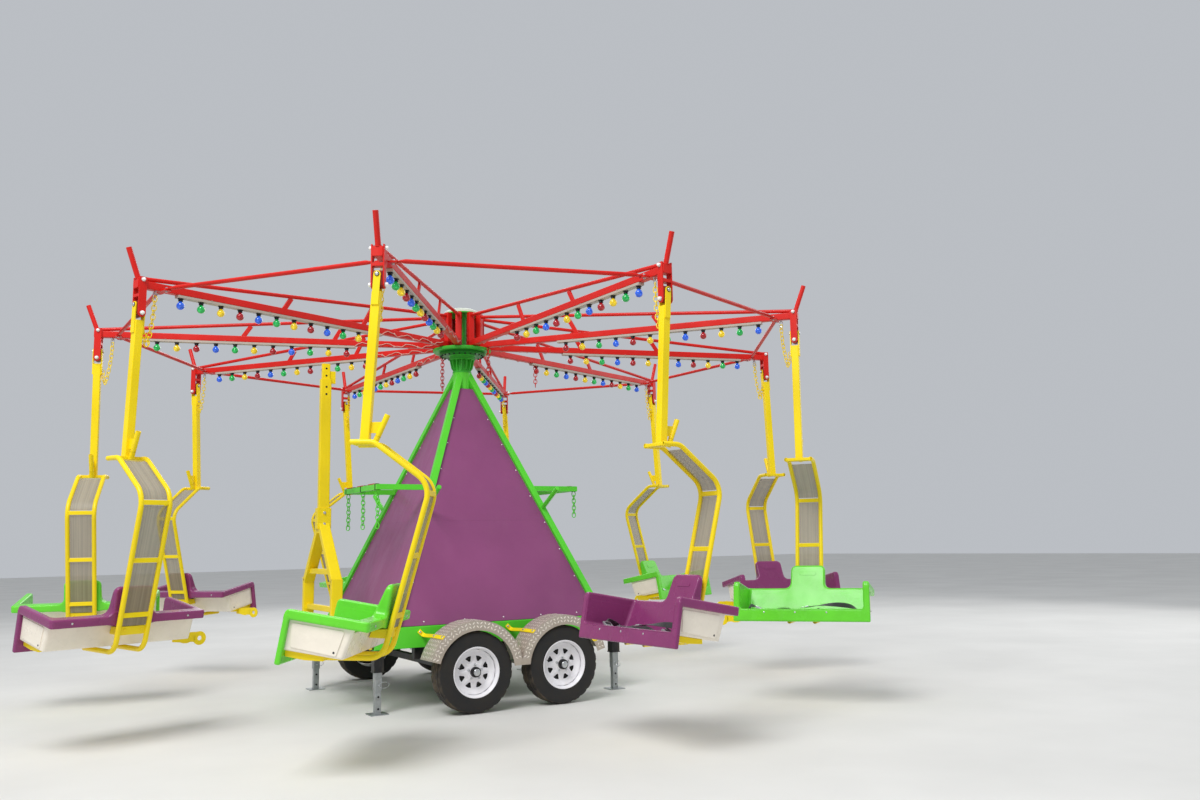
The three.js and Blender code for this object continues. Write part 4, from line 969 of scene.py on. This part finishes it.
def seat_belts_mesh():
    """Lap belts: webbing that arches out of the back crease, with a plate or a buckle at its end."""
    s = Shape()
    strap = [(-23, -1.2), (23, -1.2), (23, 1.2), (-23, 1.2)]
    for kind, x0, x1, reach, hump in (("buckle", -505, -395, 430, 34), ("tongue", -75, -330, 330, 12),
                                      ("buckle", 80, 150, 300, 12), ("tongue", 475, 60, 450, 46)):
        path, sections = [], []
        for i in range(19):
            t = i / 18
            along = 170 + (reach - 170) * sin(t * pi / 2)
            x = x0 + (x1 - x0) * (1 - cos(t * pi / 2))
            path.append(on_shell(x, along, -229 + hump * sin(0.85 * pi * t)))
            twist = (1.15 if x1 < x0 else -1.15) * sin(pi * t) ** 2
            c, d = polar(1, twist)
            sections.append([(a * c - b * d, a * d + b * c) for a, b in strap])
        s.sweep(path, sections, "webbing", up=SHELL_UP)
        end, along = path[-1], (path[-1] - path[-2]).normalized()
        side = along.cross(SHELL_UP).normalized()
        up = side.cross(along)
        place = lambda a, b, d: end + side * a + along * b + up * d
        if kind == "buckle":
            s.prism(rounded_box(-32, 32, -6, 70, 8, 4), place, -3, 14, "silver", 3, 3)
            s.prism(rounded_box(-20, 20, 12, 44, 5, 3), place, 13, 17, "black", 1.2)
        else:
            s.prism(rounded_box(-27, 27, -6, 30, 5, 3), place, -2, 8, "silver", 2)
            s.prism(rounded_box(-15, 15, 28, 66, 6, 3), place, 1.5, 4.5, "silver", 0.8)
    return s.mesh("seat_belts")


# Chain from the arm to the hanger, in two lengths that meet at the knuckle's turn

CHAIN_TOP, CHAIN_LOW, CHAIN_END = (CHAIN_R, 0, 3388), (3376, -6, 2992), (3402, -12, 3119)


def hanging(start, end, bow, steps=14):
    start, end = Vector(start), Vector(end)
    return [start.lerp(end, i / steps) + Vector(bow) * sin(pi * i / steps) for i in range(steps + 1)]


def add_chains(k):
    turn = Matrix.Rotation(arm_turn(k), 4, "Z")
    arm, knuckle, seat = "rotor", f"knuckle_{k + 1}", f"seat_{k + 1}"
    upper, lower = hanging(CHAIN_TOP, CHAIN_LOW, (-12, 0, 0)), hanging(CHAIN_LOW, CHAIN_END, (6, 0, -4), 6)
    for part, path, pair, ends in (("upper", upper, (arm, knuckle), (CHAIN_TOP, (3370, 0, 3060))),
                                   ("lower", lower, (knuckle, seat), ((3378, -6, 3010), (3402, -12, 3090)))):
        s = Shape()
        s.chain(path, "yellow", 50, 33, 7.5)
        if part == "lower":
            s.bolt((3408.4, -12, 3119), (-1, 0, 0), 9)
        name = f"chain_{part}_{k + 1}"
        piece = show(name, s.mesh(name), None, weighted=False)
        piece.matrix_world = turn
        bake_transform(piece)


# Hub and tower head

def hub_mesh():
    s = Shape()
    # Flange and pole in the darker hub green: painted shade.
    s.lathe([(0, 3400.2), (286, 3400.2), (292, 3402), (300, 3414), (300, 3426), (296, 3430), (60, 3430), (50, 3434),
             (44, 3440), (44, 3788), (48, 3794), (188, 3795), (192, 3797), (192, 3806), (189, 3808.5), (0, 3808.5)],
            "hub_green", sides=72)
    cap = [(186 * a, 3812 + 58 * b) for a, b in circle(1, 36)[:9]]
    s.lathe([(0, 3808), (186, 3808), (187, 3811)] + cap + [(0, 3870)], "dome", sides=72)
    for k in range(ARMS):
        for shift in (-0.1, 0.1):
            s.bolt((*polar(262, arm_turn(k) + PITCH / 2 + shift), 3430), (0, 0, 1), 9, "dark_steel")
    return s.mesh("hub")


def head_mesh():
    s = Shape()
    # Collar, and below it the gussets, in the darker hub green: painted shade.
    s.lathe([(0, 3186), (98, 3186), (98, 3196), (88, 3208), (86, 3214), (86, 3316), (130, 3318), (134, 3321),
             (134, 3330), (130, 3333), (130, 3358), (140, 3366), (0, 3366)], "hub_green", sides=64)
    # Ring flange in the darkest green: painted shade.
    s.lathe([(0, 3366), (232, 3366), (235, 3369), (235, 3384), (231, 3386), (231, 3390), (235, 3392), (235, 3397),
             (232, 3399.7), (0, 3399.7)], "dark_green", sides=72)
    for i in range(14):
        c, n = polar(1, 2 * pi * (i + 0.5) / 14)
        s.prism([(82, 3210), (92, 3210), (112, 3236), (129, 3317), (82, 3317)],
                lambda r, z, d: (r * c - d * n, r * n + d * c, z), -5, 5, "hub_green", 1.5)
    for spot in circle(218, 24):
        s.bolt((*spot, 3366), (0, 0, -1), 9, "dark_steel", 10)
    return s.mesh("head")


# Wheels, each about Y with its outer face at Y = 0 and its depth towards -Y

def tyre_mesh():
    """Tyre with zigzag grooves and shoulder blocks."""
    s = Shape()
    sides, half = 96, TYRE_W / 2
    ribs = [(-86, 0), (-66, 0), (-62, 1), (-54, 1), (-50, 0), (-24, 0), (-20, 1), (-12, 1), (-8, 0),
            (8, 0), (12, 1), (20, 1), (24, 0), (50, 0), (54, 1), (62, 1), (66, 0), (86, 0)]
    wall = [(212, 94), (208, 99), (222, 101), (262, 102.5), (300, 101), (322, 98), (331, 94)]
    rows = [("wall", r, -y) for r, y in wall] + [("tread", low, y) for y, low in ribs]
    rows += [("wall", r, y) for r, y in wall[::-1]] + [("wall", 204, 70), ("wall", 204, -70)]
    m, points = len(rows), []
    for i, a in enumerate(turns(sides)):
        zig = 3.5 if (i // 2) % 2 else -3.5
        for kind, r, y in rows:
            if kind == "tread":
                radius = TYRE_R - 5 * (abs(y) / 86) ** 4 - (8 if r else 0) - (7 if abs(y) > 60 and i % 4 == 0 else 0)
                y += zig if abs(y) < 64 else 0
            else:
                radius = r - (4 if r > 325 and i % 4 == 0 else 0)
            points.append(around(radius, a, y - half))
    wall_faces, tread_faces = [], []
    for i, face in enumerate(grid_faces(sides, m)):
        (tread_faces if len(wall) - 1 <= i % m < len(wall) + len(ribs) else wall_faces).append(face)
    s.add(points, wall_faces + tread_faces, "tyre")
    slot = s.slot("tread")
    for face in list(s.bm.faces)[len(wall_faces):]:
        face.material_index = slot
    for y in (-6.5, 6.5 - TYRE_W):
        for r in (232, 300):
            s.tube([around(r, a, y) for a in turns(60)], 2.2, "tyre", 5, True)
    return s


def wheel_mesh():
    s, out = tyre_mesh(), (0, 1, 0)
    lip = [(201, 6), (207, 0), (212, 0.5), (214, 4), (212, 8), (206, 11), (205, 60), (205, TYRE_W - 20),
           (198, TYRE_W - 20), (198, 66), (190, 40), (190, 24), (197, 14)]
    s.lathe([(r, -d) for r, d in lip], "rim_white", axis=out, sides=72)
    windows_disc(s)
    s.lathe([(0, -20), (42, -20), (42, -8), (41, -6), (39, -5), (0, -5)], "black", axis=out, sides=32)
    s.lathe([(0, -92), (186, -92), (186, -82), (44, -82), (44, -20), (0, -20)], "socket", axis=out)
    s.dome((0, -6, 0), out, 29, 20, "silver", 28, 12)
    for a in turns(5):
        s.bolt(around(62, a + 0.3, -50), out, 10.5, "silver", 14)
    s.rod((150, -47, 40), (156, -22, 46), 4.5, "black", 10)
    return s.mesh("wheel", 34)


# Radius and depth of the pressed centre disc
DISC_STOPS = ((DISC_IN, 40), (74, 44), (88, 62), (100, 70), (144, 70), (158, 62), (172, 48), (DISC_OUT, 44))


def disc_point(r, a, back):
    depth = DISC_STOPS[-1][1]
    for (r0, d0), (r1, d1) in zip(DISC_STOPS, DISC_STOPS[1:]):
        if r <= r1:
            t = max(0, (r - r0) / (r1 - r0))
            depth = d0 + (d1 - d0) * t * t * (3 - 2 * t)
            break
    return around(r, a, -depth - back)


def windows_disc(s):
    """Centre disc with rounded wedge windows, meshed sector by sector from window to border."""
    half, rows = pi / WINDOWS, 7
    window = [(92, -0.09), (92, 0.09), (132, 0.235), (138, 0.19), (141, 0.0), (138, -0.19), (132, -0.235)]
    hole = round_corners([polar(r, a) for r, a in window], [6, 6, 9, 0, 0, 0, 9], 3)
    hole = [(p.length, atan2(p.y, p.x)) for p in hole]
    centre, border, columns = 118, [], []
    for r, a in hole:
        x, y = polar(r, a)
        turn, reach = atan2(y, x - centre), 4
        while True:
            x, y = polar(reach, turn)
            radius, angle = hypot(centre + x, y), atan2(y, centre + x)
            if radius > DISC_OUT or radius < DISC_IN or abs(angle) > half:
                break
            reach += 0.5
        border.append((min(DISC_OUT, max(DISC_IN, radius)), max(-half, min(half, angle))))
    for inner, outer, after in zip(hole, border, border[1:] + border[:1]):
        columns.append((outer, inner))
        for corner in ((DISC_IN, -half), (DISC_IN, half), (DISC_OUT, half), (DISC_OUT, -half)):
            near = [abs(r - corner[0]) < 2.5 or abs(a - corner[1]) < 0.012 for r, a in (outer, after)]
            if all(near) and abs(outer[0] - after[0]) >= 2.5 and abs(outer[1] - after[1]) >= 0.012:
                columns.append((corner, inner))
    # Each column runs outward on the face and back inward behind it
    steps = [(j / (rows - 1), 0) for j in range(rows)] + [(j / (rows - 1), 4) for j in reversed(range(rows))]
    for k in range(WINDOWS):
        middle, points = 2 * pi * (k + 0.5) / WINDOWS, []
        for outer, inner in columns:
            (ox, oy), (ix, iy) = polar(*outer), polar(*inner)
            for share, back in steps:
                x, y = ix + (ox - ix) * share, iy + (oy - iy) * share
                points.append(disc_point(hypot(x, y), atan2(y, x) + middle, back))
        s.add(points, grid_faces(len(columns), len(steps)), "rim_white")
        s.tube([disc_point(r, a + middle, 1.5) for r, a in hole], 2.6, "rim_white", 6, True)


# Fenders, jacks, trailer

def fender_line(radius):
    """Both wheels' arcs at a radius, joined in the valley where they meet."""
    half_pitch = (WHEEL_X[1] - WHEEL_X[0]) / 2
    joined = radius > half_pitch
    valley = degrees(acos(half_pitch / radius)) if joined else 5
    first = arc((WHEEL_X[0], TYRE_R), radius, 164, valley, 22)
    second = arc((WHEEL_X[1], TYRE_R), radius, 180 - valley, 16, 22)
    return first + (second[1:] if joined else second)


def lozenge(s, base, along, across, up, lean):
    """One raised mark of the tread plate, leaning from the arch's length."""
    u = along * cos(lean) + across * sin(lean)
    v = across * cos(lean) - along * sin(lean)
    points = [base + u * 17, base + v * 6, base - u * 17, base - v * 6, base + u * 9 + up * 2, base - u * 9 + up * 2]
    s.add(points, [[0, 1, 4], [1, 2, 5, 4], [2, 3, 5], [3, 0, 4, 5], [3, 2, 1, 0]], "stud", smooth=False)


def fender_mesh(side):
    """Twin arches of tread plate, with raised lozenges, a turned-down skirt and the yellow stays."""
    s, lean = Shape(), (-0.8, 0.8)
    for over, under, y0, y1, soft in ((ARCH_R, 427, ARCH_IN, ARCH_OUT, 0.8),
                                      (ARCH_R, 350, ARCH_OUT - 4, ARCH_OUT, 0.8),
                                      (433.5, 428, ARCH_OUT - 6, ARCH_OUT + 0.5, 1)):
        s.prism(fender_line(over) + fender_line(under)[::-1], lambda a, b, d: (a, side * d, b), y0, y1, "tread_plate",
                soft)
    out = Vector((0, side, 0))
    for x, start, end in ((WHEEL_X[0], 163, 12), (WHEEL_X[1], 168, 17)):
        hub = Vector((x, 0, TYRE_R))
        for i in range(30):
            a = radians(start + (end - start) * (i + 0.5) / 30)
            up, along = around(1, a), around(1, a + pi / 2)
            for j in range(7):
                y = ARCH_IN + 20 + j * 37 + (18 if i % 2 else 0)
                if y <= ARCH_OUT - 18:
                    lozenge(s, hub + up * ARCH_R + out * y, along, out, up, lean[(i + j) % 2])
            for radius in (413, 383):
                lozenge(s, hub + up * radius + out * ARCH_OUT, along, up, out, lean[(i + radius) % 2])
    for x in WHEEL_X:
        fender_stay(s, x, side)
    middle = sum(WHEEL_X) / 2
    y0, y1 = sorted((side * 1180, side * 1470))
    s.box(middle - 24, middle + 24, y0, y1, 392, 400, "galvanized", 1.5)
    s.box(middle - 4, middle + 4, y0, y1, 398, 436, "galvanized", 1.5)
    s.bolt((middle, side * 1440, 392), (0, 0, -1), 10)
    return s.mesh(f"fender_{side}", 34)


def fender_stay(s, x, side):
    """Flat yellow strap over the arch, bent down to the rail and bolted to it."""
    up, along = around(1, radians(135)), around(1, radians(225))
    spot = lambda y, lift: Vector((x, side * y, TYRE_R)) + up * (ARCH_R + lift)
    path = round_corners([spot(1500, 4), spot(1260, 4), spot(1215, 0), spot(1040, -12), spot(1007, -4), spot(1003, 46)],
                         [0, 30, 30, 12, 10, 0], 3, False)
    s.sweep(path, [(-3, -18), (-3, 18), (3, 18), (3, -18)], "yellow", up=along, soft=1)
    for y in (1470, 1290):
        s.bolt(spot(y, 7), up, 9)
    s.bolt(spot(1002, 28) + Vector((0, side * 4, 0)), (0, side, 0), 9)


def jack_mesh(sx, sy):
    """Telescopic drop leg: a slim perforated foot in a pinned tube, with the pin's wire loop."""
    s = Shape()
    x, y = sx * JACK_X, sy * JACK_Y
    for half, low, high, corner, soft in ((27, 8, 215, 5, 1.2), (32, 203, 519, 5, 1.2), (80, 0, 8, 8, 1)):
        s.post(x, y, half, low, high, corner, "galvanized", soft)
    s.weld_round(x - 28, x + 28, y - 28, y + 28, 9, "galvanized", 3.5)
    for z in (47, 147):
        for side in (-1, 1):
            s.disc((x, y + side * 27, z), (0, side, 0), 9.5, 0.5, "socket")
    s.rod((x, y - 46, PIN_Z), (x, y + 46, PIN_Z), 7, "silver", 12)
    along, across, reach = (1, 0, 44) if sx < 0 else (0.1, sy, 30)
    s.tube([(x + along * reach * (1 - a), y + sy * 44 + across * reach * (1 - a), PIN_Z + 25 * b)
            for a, b in circle(1, 26)], 2.2, "silver", 6, True)
    return s.mesh(f"jack_{sx}_{sy}")


def chassis_mesh():
    s = Shape()
    for sy in (-1, 1):
        y0, y1 = sorted((sy * 929, sy * 999))
        s.prism(rounded_box(y0, y1, RAIL_LOW, BASE_Z, 6, 3), along_x, -1240, 1240, "green", 1.5)
        for sx in (-1, 1):
            x, y = sx * JACK_X, sy * JACK_Y
            s.post(x, y, 44, 350, 696, 7, "black", 1.5)
            s.box(x - 47, x + 47, y - 47, y + 47, 350, 360, "black", 2)
        for x in (-900, -700, 640, 900):
            s.bolt((x, sy * 964, RAIL_LOW), (0, 0, -1), 11, "silver", 12)
        cheek = [(-1220, 675)] + arc((HINGE_X, HINGE_Z), 52, 120, 240, 10) + [(-1220, RAIL_LOW)]
        for gap in (-38.6, 38.6):
            y = sy * HINGE_Y + gap
            s.across(cheek, y - 6, y + 6, "green", 1.5)
    for x, half in ((-1200, 40), (1200, 40), (-420, 30), (420, 30)):
        s.box(x - half, x + half, -985, 985, RAIL_LOW + 0.5, BASE_Z - 0.5, "green", 4)
    return s.mesh("chassis")


def drawbar_mesh():
    s = Shape()
    at = lambda y, z: (HINGE_X, y, z)
    arms = [((sy * 18, 1630), (sy * 457, 1108)) for sy in (-1, 1)]
    legs = [((sy * HINGE_Y, 1134), (sy * HINGE_Y, HINGE_Z)) for sy in (-1, 1)]
    for start, end, width, height, soft, corner in (
        ((0, 1554), (0, 3028), 100, 64, 2, 7), ((0, 3018), (0, 3178), 76, 48, 3, 6),
        ((0, 1594), (0, 1791), 130, 94, 2.5, 7), *((*ends, 100, 64, 2, 7) for ends in arms + legs),
        ((-400, 1198), (400, 1198), 50, 50, 1.6, 5), ((-460, 862), (460, 862), 50, 50, 1.6, 5),
    ):
        s.bar(at(*start), at(*end), width, height, (1, 0, 0), "yellow", soft, corner)
    s.box(HINGE_X + 40, HINGE_X + 92, -16, 16, 2988, 3108, "yellow", 3)
    for side in (-1, 1):
        y, out = side * HINGE_Y, (0, side, 0)
        s.weld([(HINGE_X - 51, side * 430, 1120), (HINGE_X - 51, side * 498, 1136)], "yellow", 3)
        s.disc(at(y - 32, HINGE_Z), (0, 1, 0), 50, 64, "yellow", 32)
        s.rod(at(y - 50, HINGE_Z), at(y + 50, HINGE_Z), 15.7, "silver", 20)
        for end in (-1, 1):
            s.bolt(at(y + end * 45.2, HINGE_Z), (0, end, 0), 21, "silver", 9, False)
        for z in (1640, 1745):
            s.bolt(at(side * 47, z), out, 12)
        for z in (2880, 2950, 3060, 3130):
            s.disc(at(side * (32 if z < 3028 else 24), z), out, 10, 0.6, "socket")
    return s.mesh("drawbar")


# Tower trim

CORNERS = ((-1, -1), (1, -1), (1, 1), (-1, 1))


def corner_at(sx, sy, z):
    share = (APEX - z) / (APEX - BASE_Z)
    return Vector((sx * BASE_X * share, sy * BASE_Y * share, z))


def sheet_spot(first, second, across, z, lift=0.0):
    """A point on a side's outer face, from its share across and its height, with the outward normal."""
    a, b = corner_at(*first, z), corner_at(*second, z)
    edge = b - a
    up = corner_at(*first, z + 100) + corner_at(*second, z + 100) - a - b
    normal = edge.cross(up).normalized()
    return a + edge * across + normal * (3 + lift), normal


def sheet_trim_mesh():
    """Rivets down both edges and along the foot of each sheet, with the joint seam."""
    s = Shape()
    for i, (first, second) in enumerate(zip(CORNERS, CORNERS[1:] + CORNERS[:1])):
        places = [(across, 752) for across in (0.12, 0.31, 0.5, 0.69, 0.88)]
        for z in range(830, 2950, 265):
            share = 52 / (2 * (BASE_Y if i % 2 else BASE_X) * (APEX - z) / (APEX - BASE_Z))
            if share <= 0.4:
                places += [(share, z), (1 - share, z)]
        for across, z in places:
            s.dome(*sheet_spot(first, second, across, z), 6.5, 3.5, "white_cap", 12, 0.8)
        low, high = (sheet_spot(first, second, across, 1650, -0.3)[0] for across in (0.06, 0.94))
        s.tube([low, low.lerp(high, 0.5), high], 1.1, "sheet", 6)
    return s.mesh("sheet_trim")


def rack_trim_mesh():
    """Pads, bands and hanging chains on the two transport racks."""
    s = Shape()
    for x, pads, bands, drop in ((-RACK_X, (-330, 0, 330), (-452, -24, 440), 345),
                                 (RACK_X, (-300, 290), (-470,), 250)):
        for y in pads:
            s.box(x - 22, x + 22, y - 105, y + 105, 1995.2, 2005, "pad_red", 2.5)
            # Pad end straps in the strip's greyer tone of painted shade.
            for end in (y - 99, y + 99):
                s.box(x - 22.5, x + 22.5, end - 6, end + 6, 1995.1, 2006, "strip", 1)
        for y in bands:
            s.box(x - 27.5, x + 27.5, y - 9, y + 9, 1942.5, 1997.5, "band", 1)
            s.chain(hanging((x, y, 1936), (x + 2, y + 4, 1936 - drop), (4, 3, 0), 6), "green", 54, 36, 9)
    return s.mesh("rack_trim")


def hub_chain_mesh(k, r, length):
    s = Shape()
    s.link((r, 0, 3420), (0, 0, 1), (0, 1, 0), 56, 37, 9, "red")
    s.chain([(r, 0, 3405), (r + 2, 2, 3405 - length / 2), (r, 0, 3405 - length)], "red", 54, 36, 9)
    return s.mesh(f"hub_chain_{k}")


# Pieces on their bodies

def dress(node, name, bevel):
    """Rounded edges and paint for a CAD node that stays."""
    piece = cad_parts[node]
    for slot in piece.material_slots:
        slot.link = "OBJECT"
        slot.material = MATERIALS[name]
    weld = piece.modifiers.new("weld", "WELD")
    weld.merge_threshold = 0.00002
    flat = piece.modifiers.new("flat", "DECIMATE")
    flat.decimate_type = "DISSOLVE"
    flat.angle_limit = radians(1)
    soft = piece.modifiers.new("soft", "BEVEL")
    soft.width, soft.segments, soft.limit_method = bevel, 2, "ANGLE"
    soft.angle_limit = radians(30)
    piece.modifiers.new("normals", "WEIGHTED_NORMAL").keep_sharp = True


dress("tower_frame", "green", 0.004)
dress("running_gear", "black", 0.003)
for side in ("near", "right", "far", "left"):
    dress(f"tower_sheet_{side}", "sheet", 0.001)

show("trailer_frame", chassis_mesh(), "base", ("chassis",))
show("tow_fork", drawbar_mesh(), "drawbar", ("drawbar",))
show("rotor_core", hub_mesh(), "rotor", ("rotor_hub",))
show("slew_head", head_mesh(), "base", ("tower_head",))
show("sheet_rivets", sheet_trim_mesh(), "base", weighted=False)
show("rack_gear", rack_trim_mesh(), "base", weighted=False)
for side, name in ((-1, "near"), (1, "far")):
    show(f"arch_{name}", fender_mesh(side), "base", (f"fender_{name}",), weighted=False)
wheel = wheel_mesh()
for end, sx in (("left", -1), ("right", 1)):
    for flank, sy in (("near", -1), ("far", 1)):
        show(f"jack_{flank}_{end}", jack_mesh(sx, sy), "base", (f"jack_leg_{flank}_{end}",))
        piece = show(f"tyre_{flank}_{end}", wheel, None, weighted=False)
        place = Matrix.Translation((WHEEL_X[(sx + 1) // 2] * MM, sy * FACE_Y * MM, TYRE_R * MM))
        piece.matrix_world = place @ Matrix.Rotation(pi if sy < 0 else 0.0, 4, "Z")
        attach(piece, f"wheel_{flank}_{end}")
        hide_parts(f"wheel_{flank}_{end}")

arms = {True: arm_mesh(True), False: arm_mesh(False)}
lamps, knuckle, hanger, panels = lamps_mesh(), knuckle_mesh(), hanger_mesh(), panels_mesh()
top = field_mesh(top_field, (-604, -24, -364), (604, 568, 236), 7.0, 0.16, "seat_top")
body_shell = field_mesh(body_field, (-576, 60, -280), (576, 548, -24), 8.0, 0.1, "seat_body")
for data, key in ((top, "shell_green"), (body_shell, "cream")):
    data.materials.append(MATERIALS[key])
    data["parts"] = key
trim, fittings, belts = seat_trim_mesh(), seat_fittings_mesh(), seat_belts_mesh()
for k in range(ARMS):
    n, turn = k + 1, arm_turn(k)
    swap = {"shell_green": "shell_purple"} if k % 2 else {}
    slot = "seat_purple" if k % 2 else "seat_green"
    for name, data, body, paint_slot, node, colours, weighted in (
        ("truss", arms[k != BARE_ARM], "rotor", "red_paint", f"arm_{n}", None, True),
        ("lamps", lamps, "rotor", None, None, None, True),
        ("joint_block", knuckle, f"knuckle_{n}", "dark_red_paint", f"knuckle_{n}", None, True),
        ("seat_frame", hanger, f"seat_{n}", "yellow_paint", f"hanger_{n}", None, True),
        ("bay_panels", panels, f"seat_{n}", None, None, None, False),
        ("bench", top, f"seat_{n}", slot, f"seat_shell_{n}", swap, False),
        ("bench_body", body_shell, f"seat_{n}", None, None, None, False),
        ("bench_trim", trim, f"seat_{n}", slot, None, swap, True),
        ("bench_fittings", fittings, f"seat_{n}", None, None, None, True),
        ("belts", belts, f"seat_{n}", None, None, None, True),
    ):
        show(f"{name}_{n}", data, body, (node,) if node else (), turn, colours, weighted)
    add_chains(k)
for k, r, length in ((6, 470, 330), (2, 300, 260), (4, 1150, 230)):
    show(f"hub_chain_{k}", hub_chain_mesh(k, r, length), "rotor", (), arm_turn(k), weighted=False)


# Stage and light

def stage():
    """Plain floor, pale sky and three soft lights, each aimed at a height on the axis."""
    data, half = bpy.data.meshes.new("floor"), 60
    data.from_pydata([(-half, -half, 0), (half, -half, 0), (half, half, 0), (-half, half, 0)], [], [(0, 1, 2, 3)])
    put("floor", data)
    n = Nodes("floor")
    n.finish(n.mix(n.remap(n.noise(0.6, 4), 0.3, 0.7), srgb("D6D5D1"), srgb("E0DFDB")), 0.75)
    data.materials.append(n.material)
    SCENE.world = bpy.data.worlds.new("world")
    SCENE.world.use_nodes = True
    sky = SCENE.world.node_tree.nodes["Background"].inputs
    sky["Color"].default_value, sky["Strength"].default_value = (0.9, 0.94, 1.0, 1), 0.55
    for name, spot, height, size, power in (("key", (-8, -7, 13), 1.5, 7, 1800), ("fill", (13, -1, 7), 2, 9, 380),
                                            ("back", (4, 12, 9), 2.5, 8, 450)):
        light = bpy.data.lights.new(name, "AREA")
        light.size, light.energy = size, power
        lamp = put(name, light)
        lamp.location, lamp.rotation_mode = spot, "QUATERNION"
        lamp.rotation_quaternion = (Vector((0, 0, height)) - Vector(spot)).to_track_quat("-Z", "Y")


stage()
SCENE.view_settings.view_transform = "Standard"
